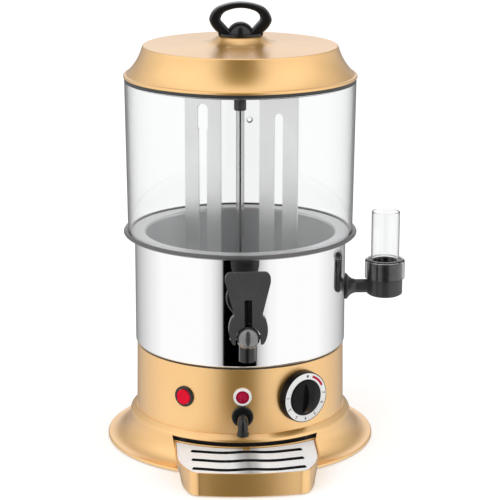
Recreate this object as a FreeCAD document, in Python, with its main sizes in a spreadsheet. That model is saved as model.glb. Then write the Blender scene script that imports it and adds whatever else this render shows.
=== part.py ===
"""Hot chocolate dispenser with a water-bath bowl, built as a parametric document.

The frame is the machine's own: +Z up, the front towards -Y, the origin on the
machine's axis at the surface that its feet stand on. All sizes are millimetres.
"""
import FreeCAD
import Part
import Sketcher
import math
import os
import re

Vector = FreeCAD.Vector

# ---------------------------------------------------------------- driving sizes
SIZES = {
    # feet, base plate and drip tray bay
    "foot_height": 8, "foot_radius": 13, "foot_reach": 112, "foot_draft": 6,
    "front_foot_turn": 64, "rear_foot_turn": 137,
    "base_gauge": 1.5, "base_plate_radius": 127,
    "bay_half_width": 79, "bay_back_radius": 121.5,
    # control panel, a cone that carries the switch row
    "panel_foot_radius": 116.5, "panel_head_radius": 115.6, "panel_height": 100.5,
    "panel_wall": 1.2, "panel_lip": 12,
    # spun skirt round the base
    "skirt_gauge": 1.4, "skirt_lift": 1.5, "skirt_hem": 2.6, "skirt_rim_radius": 149.7,
    "skirt_collar_top": 41, "skirt_step_radius": 124.2, "skirt_step_top": 37,
    "skirt_step_bottom": 30.5, "skirt_flare_radius": 27,
    # boiler jacket, which holds the water bath
    "joint_gasket_gauge": 1.5, "jacket_radius": 117, "jacket_wall": 1.2,
    "jacket_floor_gauge": 1.5, "jacket_heel": 3.5, "jacket_height": 125,
    # bowl and the ring that seals it
    "bowl_mouth_radius": 104.5, "bowl_depth": 61, "bowl_gauge": 1.3, "bowl_corner": 5,
    "bowl_lip_bend": 3,
    "ring_wall": 4.8, "ring_foot_inset": 5.2, "ring_skirt": 3.5, "ring_heel": 1,
    "ring_shoulder": 1.5, "ring_collar": 3.5, "ring_groove": 0.5, "ring_round": 2,
    # clear tank
    "tank_foot_radius": 124.4, "tank_flare": 2.2, "tank_wall": 3,
    "tank_height": 167.8, "vent_radius": 2.5, "vent_drop": 20.3, "vent_turn": 1.3,
    # lid and its seal
    "seal_gauge": 3, "seal_depth": 2.5, "seal_lip": 2.5, "fit_gap": 0.3,
    "lid_gauge": 1.2, "brim_overhang": 1, "brim_roll": 3, "lid_waist_inset": 9,
    "lid_waist_rise": 9.5, "shoulder_inset": 22.1, "shoulder_rise": 34.5,
    "shoulder_round": 5, "boss_radius": 24, "boss_foot_radius": 33,
    "boss_foot_rise": 37, "boss_rise": 47.4,
    # lid handle
    "handle_reach": 33.8, "handle_depth": 16, "handle_rise": 35.4, "handle_root": 24.2,
    "handle_root_rise": 3, "handle_widest_rise": 16, "handle_foot": 24,
    "handle_foot_gauge": 2.2, "handle_leg_bow": 23, "handle_side_bow": 18.7,
    "crown_half": 21, "crown_drop": 3.8, "crown_bow": 60, "handle_round": 2.6,
    "finger_half_width": 21.7, "finger_top": 29.4, "finger_foot_half": 9,
    "finger_side_bow": 10.5, "arch_half": 15.6, "arch_drop": 3.3, "arch_bow": 38.5,
    "finger_round": 4, "cap_radius": 14.4, "cap_rise": 14.1, "cap_bore_depth": 6,
    "handle_screw_radius": 2.5, "handle_screw_head": 4.5, "handle_screw_gap": 0.6,
    "washer_radius": 9, "washer_gauge": 1.5,
    # column and agitator
    "column_radius": 4.6, "column_bore": 3.4, "column_tail": 12.5, "column_top": 379,
    "shaft_radius": 2.5, "shaft_play": 0.04, "bush_length": 8,
    "column_nut_span": 17, "column_nut_height": 7, "column_seal_radius": 10.5,
    "column_seal_gauge": 2,
    "hub_radius": 7, "hub_bottom": 371.4, "hub_top": 402, "hub_socket_top": 387,
    "paddle_turn": -38.9, "paddle_gauge": 1.5, "paddle_inner": 26.2, "paddle_outer": 76.4,
    "paddle_bottom": 183, "paddle_top": 402, "paddle_corner": 12, "bridge_bottom": 390,
    "slot_half_width": 5.7, "slot_top": 373, "slot_bottom": 196, "slot_head_half": 7.2,
    "slot_head_length": 30, "slot_foot_round": 4.5, "slot_crown_round": 5.1,
    "slot_head_foot_round": 3.6, "slot_head_round": 6.4, "hub_pin_radius": 2, "hub_pin_half": 9,
    # drive below the boiler
    "coupling_radius": 8, "coupling_length": 16, "coupling_top": 97,
    "bracket_gauge": 2, "bracket_half_width": 42, "bracket_half_depth": 25,
    "bracket_top": 76, "standoff_radius": 3.5, "standoff_x": 35, "standoff_y": 18,
    "gearbox_radius": 32, "gearbox_height": 24, "motor_radius": 24, "motor_height": 32,
    "motor_boss_radius": 10, "motor_boss_rise": 1, "motor_round": 2, "drive_round": 1,
    # water-bath heater
    "heater_ring_radius": 82, "heater_tube_radius": 4.2, "heater_rise": 11,
    "terminal_spread": 9, "terminal_radius": 5, "terminal_drop": 10,
    # tap
    "tap_level": 192, "tap_shank_radius": 8, "tap_shank_bore": 5.5, "tap_nut_span": 22,
    "tap_nut_height": 6, "tap_nut_margin": 1, "tap_gasket_radius": 17, "tap_gasket_gauge": 2,
    "tap_flange_radius": 21.5, "tap_flange_gauge": 4, "tap_barrel_radius": 12,
    "spout_lead": 21, "tap_tower_radius": 9.7, "tap_tower_top": 203, "spout_radius": 8.7,
    "spout_shoulder": 147, "spout_bore": 6.2, "spout_bottom": 128, "tap_bore": 6.5,
    "seat_bore": 4.6, "seat_top": 148, "seat_bottom": 144,
    "chamber_radius": 12.1, "chamber_bore": 7, "chamber_length": 17.5,
    "pivot_level": 158, "pivot_lead": 14, "pin_radius": 2.5, "pin_half": 19,
    "cam_half": 2.5, "cam_nose": 11, "cam_nose_half": 1.4,
    "plunger_rod_radius": 2.4, "plunger_plug_height": 6, "plunger_collar_level": 160.3,
    "plunger_collar_gauge": 2.5, "plunger_top": 184, "dome_radius": 12.7,
    "lever_top": 227.6, "lever_bottom": 150.5, "lever_half_top": 23.8,
    "lever_shoulder": 217, "lever_waist": 14.6, "lever_waist_level": 183,
    "lever_arm_half": 18, "lever_arm_level": 179.5, "lever_tip_half": 15.2,
    "lever_corner": 7, "lever_gauge": 5, "lever_lean": 5, "lever_back_lead": 10.6,
    "lever_arm_lead": 7, "lever_arm_gauge": 13.5, "lever_knee_level": 178, "lever_step_level": 172,
    "lever_bend_level": 204, "fork_slot_half": 4, "fork_slot_top": 199,
    "fork_eye_radius": 13.4, "fork_round": 1.5, "lever_heel_rise": 8, "lever_heel_round": 8,
    "lever_bend_round": 40, "lever_knee_round": 20, "lever_edge_round": 2,
    "lever_tip_bow": 30.8,
    # water inlet at the machine's right
    "inlet_turn": 90, "inlet_level": 170, "inlet_pipe_radius": 7.6, "inlet_bore": 5.5,
    "inlet_flange_radius": 14.6, "inlet_flange_gauge": 4.5, "inlet_reach": 162.7,
    "inlet_gasket_gauge": 1.5, "inlet_nut_span": 22, "inlet_nut_height": 6,
    "cup_radius": 20, "cup_bottom": 159, "cup_top": 199, "cup_wall": 2.6,
    "cup_heel": 3, "cup_foot_radius": 13.5, "cup_chamber_radius": 13.5,
    "collar_radius": 22.3, "collar_bottom": 179.6, "collar_top": 201, "collar_round": 2.4,
    "collar_edge": 0.6, "glass_radius": 15.75, "glass_wall": 1.6, "glass_bottom": 180,
    "glass_top": 255.5,
    # power switch, lamp, thermostat and drain on the panel
    "switch_turn": -34.3, "switch_level": 75, "switch_bezel_radius": 11.5,
    "switch_bezel_gauge": 2.2, "switch_body_radius": 9.9, "switch_body_depth": 17,
    "rocker_radius": 8.2, "rocker_rise": 2.6, "rocker_root": 4, "rocker_gap": 0.5,
    "rocker_edge": 1.6, "rocker_pin_radius": 1.2, "rocker_pin_grip": 0.8,
    "lamp_turn": -1.8, "lamp_level": 80, "lamp_bezel_radius": 10, "lamp_bezel_gauge": 3,
    "lamp_body_radius": 7.9, "lamp_body_depth": 22, "lamp_body_round": 1,
    "lens_radius": 7.2, "lens_rise": 3.4,
    "dial_turn": 31.4, "dial_level": 75, "knob_radius": 28.6, "knob_gauge": 8.8,
    "knob_rim": 0.7, "dial_ring_outer": 27, "dial_ring_inner": 20.2,
    "dial_ring_gauge": 0.8, "grip_radius": 19, "grip_skirt": 1.2, "grip_rise": 4.5,
    "grip_blade_half": 3.2, "grip_blade_reach": 18.4, "grip_blade_rise": 10.5, "grip_tilt": -6,
    "knob_gap": 0.6, "spindle_radius": 3, "spindle_play": 0.04,
    "thermostat_half_width": 17, "thermostat_half_height": 15, "thermostat_depth": 26,
    "thermostat_round": 2, "thermostat_boss_radius": 7.5, "thermostat_gap": 0.6,
    "drain_turn": -1.8, "drain_level": 58, "drain_collar_radius": 11.8,
    "drain_collar_gauge": 4, "drain_pipe_radius": 5, "drain_pipe_bore": 3.6,
    "drain_bend": 9, "drain_pipe_reach": 88, "spout_stem": 11, "drain_spout_radius": 5.7,
    "drain_spout_bore": 3.9, "drain_drop": 15, "drain_tip_radius": 6.6,
    "drain_tip_length": 3.5, "spigot_radius": 7.5,
    # drip tray
    "pan_half_width": 77, "pan_back_radius": 125, "pan_top": 26.5, "pan_floor": 1.4,
    "pan_wall": 1.5, "pan_corner_reach": 193, "pan_corner_half": 64.5,
    "pan_front_half": 52, "pan_front_reach": 202, "pan_side_reach": 143,
    "pan_side_bow": 100, "pan_corner_bow": 14, "pan_front_bow": 270,
    "pan_floor_half": 70, "pan_floor_corner": 64, "grate_gauge": 1.5, "grate_drop": 1.5,
    "grate_gap": 0.6, "grate_slot": 8, "grate_pitch": 26, "first_slot_reach": 131,
    "slot_wing": 60, "slot_knee": 24, "slot_rise": 9, "slot_dip": 4.3, "slot_bend": 60,
    "slot_end_round": 2.4, "grate_slots": 3,
    "grate_notch_half": 3.6, "grate_notch_depth": 4.5, "ledge_width": 5,
    "rail_gauge": 1, "rail_ledge": 22, "rail_length": 30,
    # cord gland at the back
    "gland_level": 62, "gland_radius": 8, "gland_length": 14, "gland_bore": 4,
    "gland_neck": 6, "gland_flange_radius": 11, "gland_flange_gauge": 3,
    # screws under the base
    "base_screw_radius": 2, "base_screw_head": 4, "base_screw_head_height": 2.4,
    "base_screw_reach": 110, "base_screw_length": 7,
}

DOC = FreeCAD.newDocument("HotChocolateDispenser")
SHEET = DOC.addObject("Spreadsheet::Sheet", "Sizes")
NODES = []


def fill_sheet():
    """Write each driving size to the sheet as plain text with its alias."""
    for row, (alias, value) in enumerate(SIZES.items(), start=1):
        SHEET.set("A%d" % row, alias)
        SHEET.set("B%d" % row, str(value))
        SHEET.setAlias("B%d" % row, alias)
    DOC.recompute()


# Levels and radii that several pieces share, as expressions of the sheet.
PANEL_BOTTOM = "(foot_height + base_gauge)"
PANEL_TOP = "(foot_height + base_gauge + panel_height)"
BOILER_BOTTOM = "(foot_height + base_gauge + panel_height + joint_gasket_gauge)"
BOILER_FLOOR = "(%s + jacket_floor_gauge)" % BOILER_BOTTOM
FLANGE_UNDER = "(%s + jacket_height)" % BOILER_BOTTOM
FLANGE_TOP = "(%s + bowl_gauge)" % FLANGE_UNDER
BOWL_FLOOR = "(%s - bowl_depth)" % FLANGE_TOP
BOWL_UNDER = "(%s - bowl_gauge)" % BOWL_FLOOR
TANK_BOTTOM = "(%s - ring_groove)" % FLANGE_UNDER
TANK_TOP = "(%s + tank_height)" % TANK_BOTTOM
BRIM_LEVEL = "(%s + seal_gauge)" % TANK_TOP
BOSS_LEVEL = "(%s + boss_rise)" % BRIM_LEVEL
JACKET_BORE = "(jacket_radius - jacket_wall)"
PANEL_BORE = "(panel_head_radius - panel_wall)"
RING_RADIUS = "(tank_foot_radius + ring_wall)"
FLANGE_RADIUS = "(tank_foot_radius - tank_wall - fit_gap)"
HEAD_RADIUS = "(tank_foot_radius + tank_flare)"
BRIM_RADIUS = "(%s + brim_overhang)" % HEAD_RADIUS
WAIST_RADIUS = "(%s - lid_waist_inset)" % BRIM_RADIUS
SHOULDER_RADIUS = "(%s - shoulder_inset)" % BRIM_RADIUS
SPOUT_REACH = "(jacket_radius + tap_gasket_gauge + spout_lead)"
CHAMBER_END = "(%s + chamber_length)" % SPOUT_REACH
PIVOT_REACH = "(%s + pivot_lead)" % SPOUT_REACH
LEVER_BACK = "(%s + lever_back_lead)" % SPOUT_REACH
LEVER_ARM_BACK = "(%s + lever_arm_lead)" % SPOUT_REACH
LEVER_ARM_FRONT = "(%s + lever_arm_gauge)" % LEVER_ARM_BACK


def bound(expression):
    """Give every alias in an expression the sheet's name, as other objects need it."""
    def prefix(match):
        word = match.group()
        return "Sizes." + word if word in SIZES else word
    return re.sub(r"[a-z][a-z_0-9]*", prefix, str(expression))


def panel_face(level):
    """Radius of the control panel's cone at a level."""
    taper = "(panel_foot_radius - panel_head_radius)"
    share = "(%s - skirt_collar_top) / (%s - skirt_collar_top)" % (level, PANEL_TOP)
    return "(panel_foot_radius - %s * %s)" % (taper, share)


def flange_seat(level, radius):
    """Reach at which a flat flange of a radius comes to rest on the panel's cone."""
    return panel_face("(%s - %s)" % (level, radius))


def nut_seat(bore, span):
    """Reach at which a hexagon nut's corners come to rest against a round wall."""
    return "(sqrt((%s) ^ 2 - (%s) ^ 2 / 3) - fit_gap)" % (bore, span)


def size(expression):
    """Value of an expression of the sheet, in millimetres or degrees."""
    return float(SHEET.evalExpression(str(expression)))


# ------------------------------------------------------------- modelling helpers
def new_body(label, turn=None, level="0", tilt="0"):
    """Start a sub-part; with a turn it stands on the axis and faces outwards there.

    Such a body's own X runs to the right, its Y up and its Z away from the axis.
    """
    body = DOC.addObject("PartDesign::Body", "Body")
    body.Label = label
    NODES.append(body)
    if turn is not None:
        body.setExpression("Placement", (
            "placement(vector(0; 0; %s); rotation(vector(0; 0; 1); %s)"
            " * rotation(vector(1; 0; 0); 90) * rotation(vector(0; 0; 1); %s))"
        ) % (bound(level), bound(turn), bound(tilt)))
    return body


def new_sketch(body, plane="XZ", away="0", turn="0", side="0", up="0"):
    """Sketch on one of the body's origin planes, shifted or turned in that plane's frame."""
    sketch = body.newObject("Sketcher::SketchObject", "Sketch")
    role = plane + "_Plane"
    datum = [item for item in body.Origin.OriginFeatures if item.Role == role][0]
    sketch.AttachmentSupport = [(datum, "")]
    sketch.MapMode = "FlatFace"
    if (away, turn, side, up) != ("0", "0", "0", "0"):
        sketch.setExpression("AttachmentOffset", (
            "placement(vector(%s; %s; %s); rotation(vector(0; 1; 0); %s))"
        ) % (bound(side), bound(up), bound(away), bound(turn)))
    return sketch


def hold(sketch, kind, geometry, vertex, expression):
    """Bind the distance of a vertex from the sketch's origin to an expression."""
    number = sketch.addConstraint(
        Sketcher.Constraint(kind, -1, 1, geometry, vertex, size(expression)))
    sketch.setExpression("Constraints[%d]" % number, bound(expression))


def hold_radius(sketch, geometry, expression):
    """Bind the radius of an arc or circle to an expression."""
    number = sketch.addConstraint(
        Sketcher.Constraint("Radius", geometry, size(expression)))
    sketch.setExpression("Constraints[%d]" % number, bound(expression))


def corner(x, y, rounding=None, bow=None):
    """One corner of an outline.

    A rounding is the radius of a fillet at the corner. A bow is the radius of the
    arc that arrives at the corner, positive where it turns to the left.
    """
    return (x, y, rounding, bow)


def cap_bow(radius, rise):
    """Radius of the sphere whose cap has a given rim radius and rise, for a dome."""
    return "((%s) ^ 2 + (%s) ^ 2) / (2 * (%s))" % (radius, rise, rise)


def short_arc(start, end, radius):
    """Arc of less than half a turn between two points, and which way round it runs."""
    chord = end - start
    height = math.sqrt(max(radius * radius - chord.Length ** 2 / 4, 0))
    left = Vector(-chord.y, chord.x, 0).normalize()
    centre = (start + end) * 0.5 + left * (height if radius > 0 else -height)
    first, last = (start, end) if radius > 0 else (end, start)
    angles = [math.atan2(point.y - centre.y, point.x - centre.x) for point in (first, last)]
    circle = Part.Circle(centre, Vector(0, 0, 1), abs(radius))
    return Part.ArcOfCircle(circle, angles[0], angles[1])


def draw_outline(sketch, corners):
    """Closed outline through corners, every one of them bound to the sheet."""
    points = [Vector(size(item[0]), size(item[1]), 0) for item in corners]
    count = len(corners)
    edges = []
    for index in range(count):
        following = (index + 1) % count
        bow = corners[following][3]
        if bow is None:
            shape = Part.LineSegment(points[index], points[following])
            edges.append((sketch.addGeometry(shape), 1, 2))
            continue
        radius = size(bow)
        geometry = sketch.addGeometry(short_arc(points[index], points[following], radius))
        edges.append((geometry, 1, 2) if radius > 0 else (geometry, 2, 1))
    for index in range(count):
        geometry, first, last = edges[index]
        following = edges[(index + 1) % count]
        sketch.addConstraint(
            Sketcher.Constraint("Coincident", geometry, last, following[0], following[1]))
        hold(sketch, "DistanceX", geometry, first, corners[index][0])
        hold(sketch, "DistanceY", geometry, first, corners[index][1])
        bow = corners[(index + 1) % count][3]
        if bow is not None:
            hold_radius(sketch, geometry, "abs(%s)" % bow)
    for index in range(count):
        rounding = corners[index][2]
        if rounding is not None:
            geometry, first, last = edges[index]
            sketch.fillet(geometry, first, size(rounding), True, True)
            hold_radius(sketch, sketch.GeometryCount - 2, rounding)


def draw_circles(sketch, circles):
    """Circles given as centre x, centre y and radius, all bound to the sheet."""
    for x, y, radius in circles:
        centre = Vector(size(x), size(y), 0)
        circle = Part.Circle(centre, Vector(0, 0, 1), size(radius))
        geometry = sketch.addGeometry(circle)
        hold(sketch, "DistanceX", geometry, 3, x)
        hold(sketch, "DistanceY", geometry, 3, y)
        hold_radius(sketch, geometry, radius)


def draw_hexagon(sketch, span):
    """Regular hexagon about the origin, given its width across flats."""
    reach = "(%s) / sqrt(3)" % span
    draw_outline(sketch, [
        corner("%s * cos(%d)" % (reach, angle), "%s * sin(%d)" % (reach, angle))
        for angle in range(0, 360, 60)])


def finish_feature(body, feature, cuts):
    """Recompute a feature and make sure that it added or took away material."""
    before = 0.0 if body.Shape.isNull() else body.Shape.Volume
    body.Tip = feature
    DOC.recompute()
    change = body.Shape.Volume - before
    if (change < 0) != cuts or abs(change) < 1e-6:
        raise RuntimeError("%s: %s changed the volume by %.4f" % (body.Label, feature.Name, change))
    return feature


def revolve(body, corners, cuts=False, axis="V_Axis", **place):
    """Turn an outline about the sketch's vertical axis, to add or to cut."""
    sketch = new_sketch(body, **place)
    draw_outline(sketch, corners)
    kind = "PartDesign::Groove" if cuts else "PartDesign::Revolution"
    feature = body.newObject(kind, "Turn")
    feature.Profile = sketch
    feature.ReferenceAxis = (sketch, [axis])
    feature.Angle = 360
    return finish_feature(body, feature, cuts)


def extrude(body, draw, items, length, cuts=False, middle=False, back=False, draft=None, **place):
    """Pad or pocket a sketch; back turns the direction round, middle spreads it both ways."""
    sketch = new_sketch(body, **place)
    draw(sketch, items)
    feature = body.newObject("PartDesign::Pocket" if cuts else "PartDesign::Pad", "Run")
    feature.Profile = sketch
    feature.setExpression("Length", bound(length))
    feature.Midplane = middle
    feature.Reversed = back
    if draft is not None:
        feature.setExpression("TaperAngle", bound(draft))
    return finish_feature(body, feature, cuts)


def tube(inner, outer, bottom, top):
    """Outline of a plain ring or tube about the vertical axis."""
    return [corner(inner, bottom), corner(outer, bottom), corner(outer, top), corner(inner, top)]


def dress(body, kind, amount, wanted):
    """Fillet or chamfer the edges of the body that a test picks out."""
    base = body.Tip
    names = ["Edge%d" % (index + 1) for index, edge in enumerate(base.Shape.Edges)
             if wanted(edge)]
    if not names:
        raise RuntimeError("%s: no edge was picked out" % body.Label)
    feature = body.newObject("PartDesign::" + kind, kind)
    feature.Base = (base, names)
    feature.setExpression("Radius" if kind == "Fillet" else "Size", bound(amount))
    body.Tip = feature
    DOC.recompute()
    return feature


# ---------------------------------------------------------------- base and panel
def bay_corners(half_width, back_radius):
    """Bay of the drip tray: straight sides, open at the front, an arc about the axis behind."""
    back = "-sqrt(%s ^ 2 - %s ^ 2)" % (back_radius, half_width)
    front = "-2 * skirt_rim_radius"
    return [corner("-" + half_width, front), corner(half_width, front),
            corner(half_width, back), corner("-" + half_width, back, None, "-" + back_radius)]


def make_rubber_feet():
    """Four tapered rubber feet, one solid each, under the base plate."""
    body = new_body("rubber_feet")
    spots = [(side, turn) for turn in ("front_foot_turn", "rear_foot_turn") for side in (1, -1)]
    circles = [("%d * foot_reach * sin(%s)" % (side, turn),
                "-foot_reach * cos(%s)" % turn, "foot_radius") for side, turn in spots]
    extrude(body, draw_circles, circles, "foot_height", back=True, draft="foot_draft",
            plane="XY", away="foot_height")


def make_base_plate():
    """Sheet floor of the base, cut away at the front for the drip tray."""
    body = new_body("base_plate")
    disc = [("0", "0", "base_plate_radius")]
    extrude(body, draw_circles, disc, "base_gauge", plane="XY", away="foot_height")
    extrude(body, draw_outline, bay_corners("bay_half_width", "bay_back_radius"),
            "3 * base_gauge", cuts=True, middle=True, plane="XY", away="foot_height")
    holes = [(x, y, "base_screw_radius") for x, y in base_screw_spots()]
    extrude(body, draw_circles, holes, "3 * base_gauge", cuts=True, middle=True,
            plane="XY", away="foot_height")


def base_screw_spots():
    """Centres of the four screws that hold the panel's lower lip to the base plate."""
    return [("base_screw_reach * sin(%d)" % turn, "-base_screw_reach * cos(%d)" % turn)
            for turn in (30, 150, 210, 330)]


def make_base_screws():
    """Pan-head screws up through the base plate into the panel's lip."""
    body = new_body("base_screws")
    shanks = [(x, y, "base_screw_radius") for x, y in base_screw_spots()]
    heads = [(x, y, "base_screw_head") for x, y in base_screw_spots()]
    extrude(body, draw_circles, heads, "base_screw_head_height", back=True,
            plane="XY", away="foot_height")
    extrude(body, draw_circles, shanks, "base_screw_length", plane="XY", away="foot_height")


def make_control_panel():
    """Gold cone of the base with a lip turned in at each end and the switch row cut in it."""
    body = new_body("control_panel")
    revolve(body, [
        corner("panel_foot_radius - panel_lip", PANEL_BOTTOM),
        corner("panel_foot_radius", PANEL_BOTTOM),
        corner("panel_foot_radius", "skirt_collar_top"),
        corner("panel_head_radius", PANEL_TOP, "panel_wall"),
        corner("panel_head_radius - panel_lip", PANEL_TOP),
        corner("panel_head_radius - panel_lip", PANEL_TOP + " - panel_wall"),
        corner("panel_head_radius - panel_wall", PANEL_TOP + " - panel_wall"),
        corner("panel_foot_radius - panel_wall", "skirt_collar_top"),
        corner("panel_foot_radius - panel_wall", PANEL_BOTTOM + " + panel_wall"),
        corner("panel_foot_radius - panel_lip", PANEL_BOTTOM + " + panel_wall"),
    ])
    cut_outs = [
        ("switch_turn", "switch_level", "switch_body_radius"),
        ("lamp_turn", "lamp_level", "lamp_body_radius"),
        ("dial_turn", "dial_level", "spindle_radius + fit_gap"),
        ("drain_turn", "drain_level", "spigot_radius"),
        ("180", "gland_level", "gland_neck"),
    ]
    for turn, level, radius in cut_outs:
        extrude(body, draw_circles, [("0", level, radius)], "2 * panel_foot_radius",
                cuts=True, back=True, plane="XZ", turn=turn)
    holes = [(x, y, "base_screw_radius") for x, y in base_screw_spots()]
    extrude(body, draw_circles, holes, "3 * panel_wall", cuts=True, middle=True,
            plane="XY", away=PANEL_BOTTOM)


def make_base_skirt():
    """Spun gold skirt: a collar round the panel, a step and a trumpet flare to a hemmed rim."""
    body = new_body("base_skirt")
    flare = "skirt_flare_radius"
    inner_flare = "(skirt_flare_radius + skirt_gauge)"
    rim_top = "(skirt_lift + skirt_hem)"
    outer_rim = "skirt_rim_radius"
    revolve(body, [
        corner("panel_foot_radius", "skirt_collar_top"),
        corner("panel_foot_radius", "skirt_step_top - skirt_gauge"),
        corner("skirt_step_radius - skirt_gauge", "skirt_step_top - skirt_gauge", "skirt_gauge"),
        corner("skirt_step_radius - skirt_gauge", "skirt_step_bottom - skirt_gauge"),
        corner(outer_rim + " - skirt_gauge", rim_top + " - skirt_gauge", None, inner_flare),
        corner(outer_rim + " - skirt_gauge", "skirt_lift"),
        corner(outer_rim, "skirt_lift"),
        corner(outer_rim, rim_top),
        corner("skirt_step_radius", "skirt_step_bottom", None, "-" + flare),
        corner("skirt_step_radius", "skirt_step_top", "2 * skirt_gauge"),
        corner("panel_foot_radius + skirt_gauge", "skirt_step_top", "skirt_gauge"),
        corner("panel_foot_radius + skirt_gauge", "skirt_collar_top"),
    ])
    extrude(body, draw_outline, bay_corners("bay_half_width", "(skirt_step_radius - skirt_gauge)"),
            "skirt_step_bottom", cuts=True, back=True, plane="XY")


def make_cord_gland():
    """Cord gland in the back of the panel, with a flange and a clamping nut."""
    body = new_body("cord_gland", turn="180", level="gland_level")
    back = flange_seat("gland_level", "gland_flange_radius")
    revolve(body, [
        corner("gland_bore", back + " - gland_length"),
        corner("gland_neck", back + " - gland_length"),
        corner("gland_neck", back),
        corner("gland_flange_radius", back),
        corner("gland_flange_radius", back + " + gland_flange_gauge", "fit_gap"),
        corner("gland_radius", back + " + gland_flange_gauge"),
        corner("gland_radius", back + " + gland_length", "gland_radius / 4"),
        corner("gland_bore", back + " + gland_length"),
    ])


# ------------------------------------------------------------- boiler and bowl
def make_joint_gasket():
    """Dark ring between the panel's upper lip and the boiler's floor."""
    body = new_body("joint_gasket")
    revolve(body, tube("panel_head_radius - panel_lip", "panel_head_radius - panel_wall",
                       PANEL_TOP, BOILER_BOTTOM))


def make_boiler_jacket():
    """Polished pot that holds the water bath, open at the top under the bowl's flange."""
    body = new_body("boiler_jacket")
    revolve(body, [
        corner("column_radius", BOILER_BOTTOM),
        corner("jacket_radius", BOILER_BOTTOM, "jacket_heel"),
        corner("jacket_radius", FLANGE_UNDER),
        corner(JACKET_BORE, FLANGE_UNDER),
        corner(JACKET_BORE, BOILER_FLOOR, "jacket_heel - jacket_wall"),
        corner("column_radius", BOILER_FLOOR),
    ])
    ports = [("0", "tap_level", "tap_shank_radius"),
             ("inlet_turn", "inlet_level", "inlet_pipe_radius")]
    for turn, level, radius in ports:
        extrude(body, draw_circles, [("0", level, radius)], "2 * jacket_radius",
                cuts=True, back=True, plane="XZ", turn=turn)
    holes = [("-terminal_spread", "heater_ring_radius", "heater_tube_radius"),
             ("terminal_spread", "heater_ring_radius", "heater_tube_radius"),
             ("drain_pipe_reach * sin(drain_turn)", "-drain_pipe_reach * cos(drain_turn)",
              "drain_pipe_bore")]
    extrude(body, draw_circles, holes, "3 * jacket_floor_gauge", cuts=True, middle=True,
            plane="XY", away=BOILER_BOTTOM)


def make_bowl():
    """Deep-drawn bowl for the chocolate, its flat flange resting on the jacket's edge."""
    body = new_body("bowl")
    wall = "bowl_gauge"
    revolve(body, [
        corner("column_radius", BOWL_UNDER),
        corner("bowl_mouth_radius + bowl_gauge", BOWL_UNDER, "bowl_corner + " + wall),
        corner("bowl_mouth_radius + bowl_gauge", FLANGE_UNDER, "bowl_lip_bend - " + wall),
        corner(FLANGE_RADIUS, FLANGE_UNDER),
        corner(FLANGE_RADIUS, FLANGE_TOP),
        corner("bowl_mouth_radius", FLANGE_TOP, "bowl_lip_bend"),
        corner("bowl_mouth_radius", BOWL_FLOOR, "bowl_corner"),
        corner("column_radius", BOWL_FLOOR),
    ])
    extrude(body, draw_circles, [("0", "tap_level", "tap_shank_radius")],
            "2 * jacket_radius", cuts=True, back=True, plane="XZ")


def make_rim_gasket():
    """Silicone ring that wraps the bowl's flange and holds the foot of the clear tank."""
    body = new_body("rim_gasket")
    collar_bore = "(tank_foot_radius + fit_gap)"
    foot = FLANGE_UNDER + " - ring_skirt"
    revolve(body, [
        corner("jacket_radius", foot),
        corner(RING_RADIUS + " - ring_foot_inset", foot),
        corner(RING_RADIUS, FLANGE_UNDER + " - ring_heel", "ring_round"),
        corner(RING_RADIUS, FLANGE_UNDER + " + ring_shoulder", "ring_round"),
        corner(RING_RADIUS + " - ring_round", FLANGE_UNDER + " + ring_collar", "ring_round / 2"),
        corner(collar_bore, FLANGE_UNDER + " + ring_collar"),
        corner(collar_bore, TANK_BOTTOM),
        corner(FLANGE_RADIUS, TANK_BOTTOM),
        corner(FLANGE_RADIUS, FLANGE_UNDER),
        corner("jacket_radius", FLANGE_UNDER),
    ])


def make_heater_ring():
    """Tubular heater, a ring in the water with two legs down through the boiler's floor."""
    level = BOILER_FLOOR + " + heater_rise"
    body = new_body("heater_ring")
    sketch = new_sketch(body)
    draw_circles(sketch, [("heater_ring_radius", level, "heater_tube_radius")])
    ring = body.newObject("PartDesign::Revolution", "Ring")
    ring.Profile = sketch
    ring.ReferenceAxis = (sketch, ["V_Axis"])
    finish_feature(body, ring, False)
    legs = [("%s * terminal_spread" % side, "heater_ring_radius", "heater_tube_radius")
            for side in ("-1", "1")]
    extrude(body, draw_circles, legs, "terminal_drop + heater_rise + jacket_floor_gauge",
            back=True, plane="XY", away=level)
    nuts = [("%s * terminal_spread" % side, "heater_ring_radius", "terminal_radius")
            for side in ("-1", "1")]
    extrude(body, draw_circles, nuts, "terminal_drop / 3", back=True,
            plane="XY", away=BOILER_BOTTOM)


# ----------------------------------------------------------- column and agitator
def make_column_tube():
    """Fixed tube through both floors, up past the chocolate's level."""
    body = new_body("column_tube")
    revolve(body, tube("column_bore", "column_radius", BOILER_BOTTOM + " - column_tail", "column_top"))


def make_column_bush():
    """Plain bearing of the shaft in the top of the column."""
    body = new_body("column_bush")
    revolve(body, tube("shaft_radius + shaft_play", "column_bore",
                       "column_top - bush_length", "column_top"))


def make_column_clamps():
    """Seal and nut on the bowl's floor, and the nut under the boiler's floor."""
    seal = new_body("column_seal")
    revolve(seal, tube("column_radius", "column_seal_radius", BOWL_FLOOR,
                       BOWL_FLOOR + " + column_seal_gauge"))
    places = [("column_nut", BOWL_FLOOR + " + column_seal_gauge", False),
              ("column_locknut", BOILER_BOTTOM, True)]
    for label, level, down in places:
        nut = new_body(label)
        extrude(nut, draw_hexagon, "column_nut_span", "column_nut_height", back=down,
                plane="XY", away=level)
        extrude(nut, draw_circles, [("0", "0", "column_radius")], "3 * column_nut_height",
                cuts=True, middle=True, plane="XY", away=level)


def make_agitator_shaft():
    """Thin shaft from the coupling up inside the column to the hub."""
    body = new_body("agitator_shaft")
    revolve(body, tube("0", "shaft_radius", "coupling_top - coupling_length / 2", "hub_socket_top"))


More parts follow.
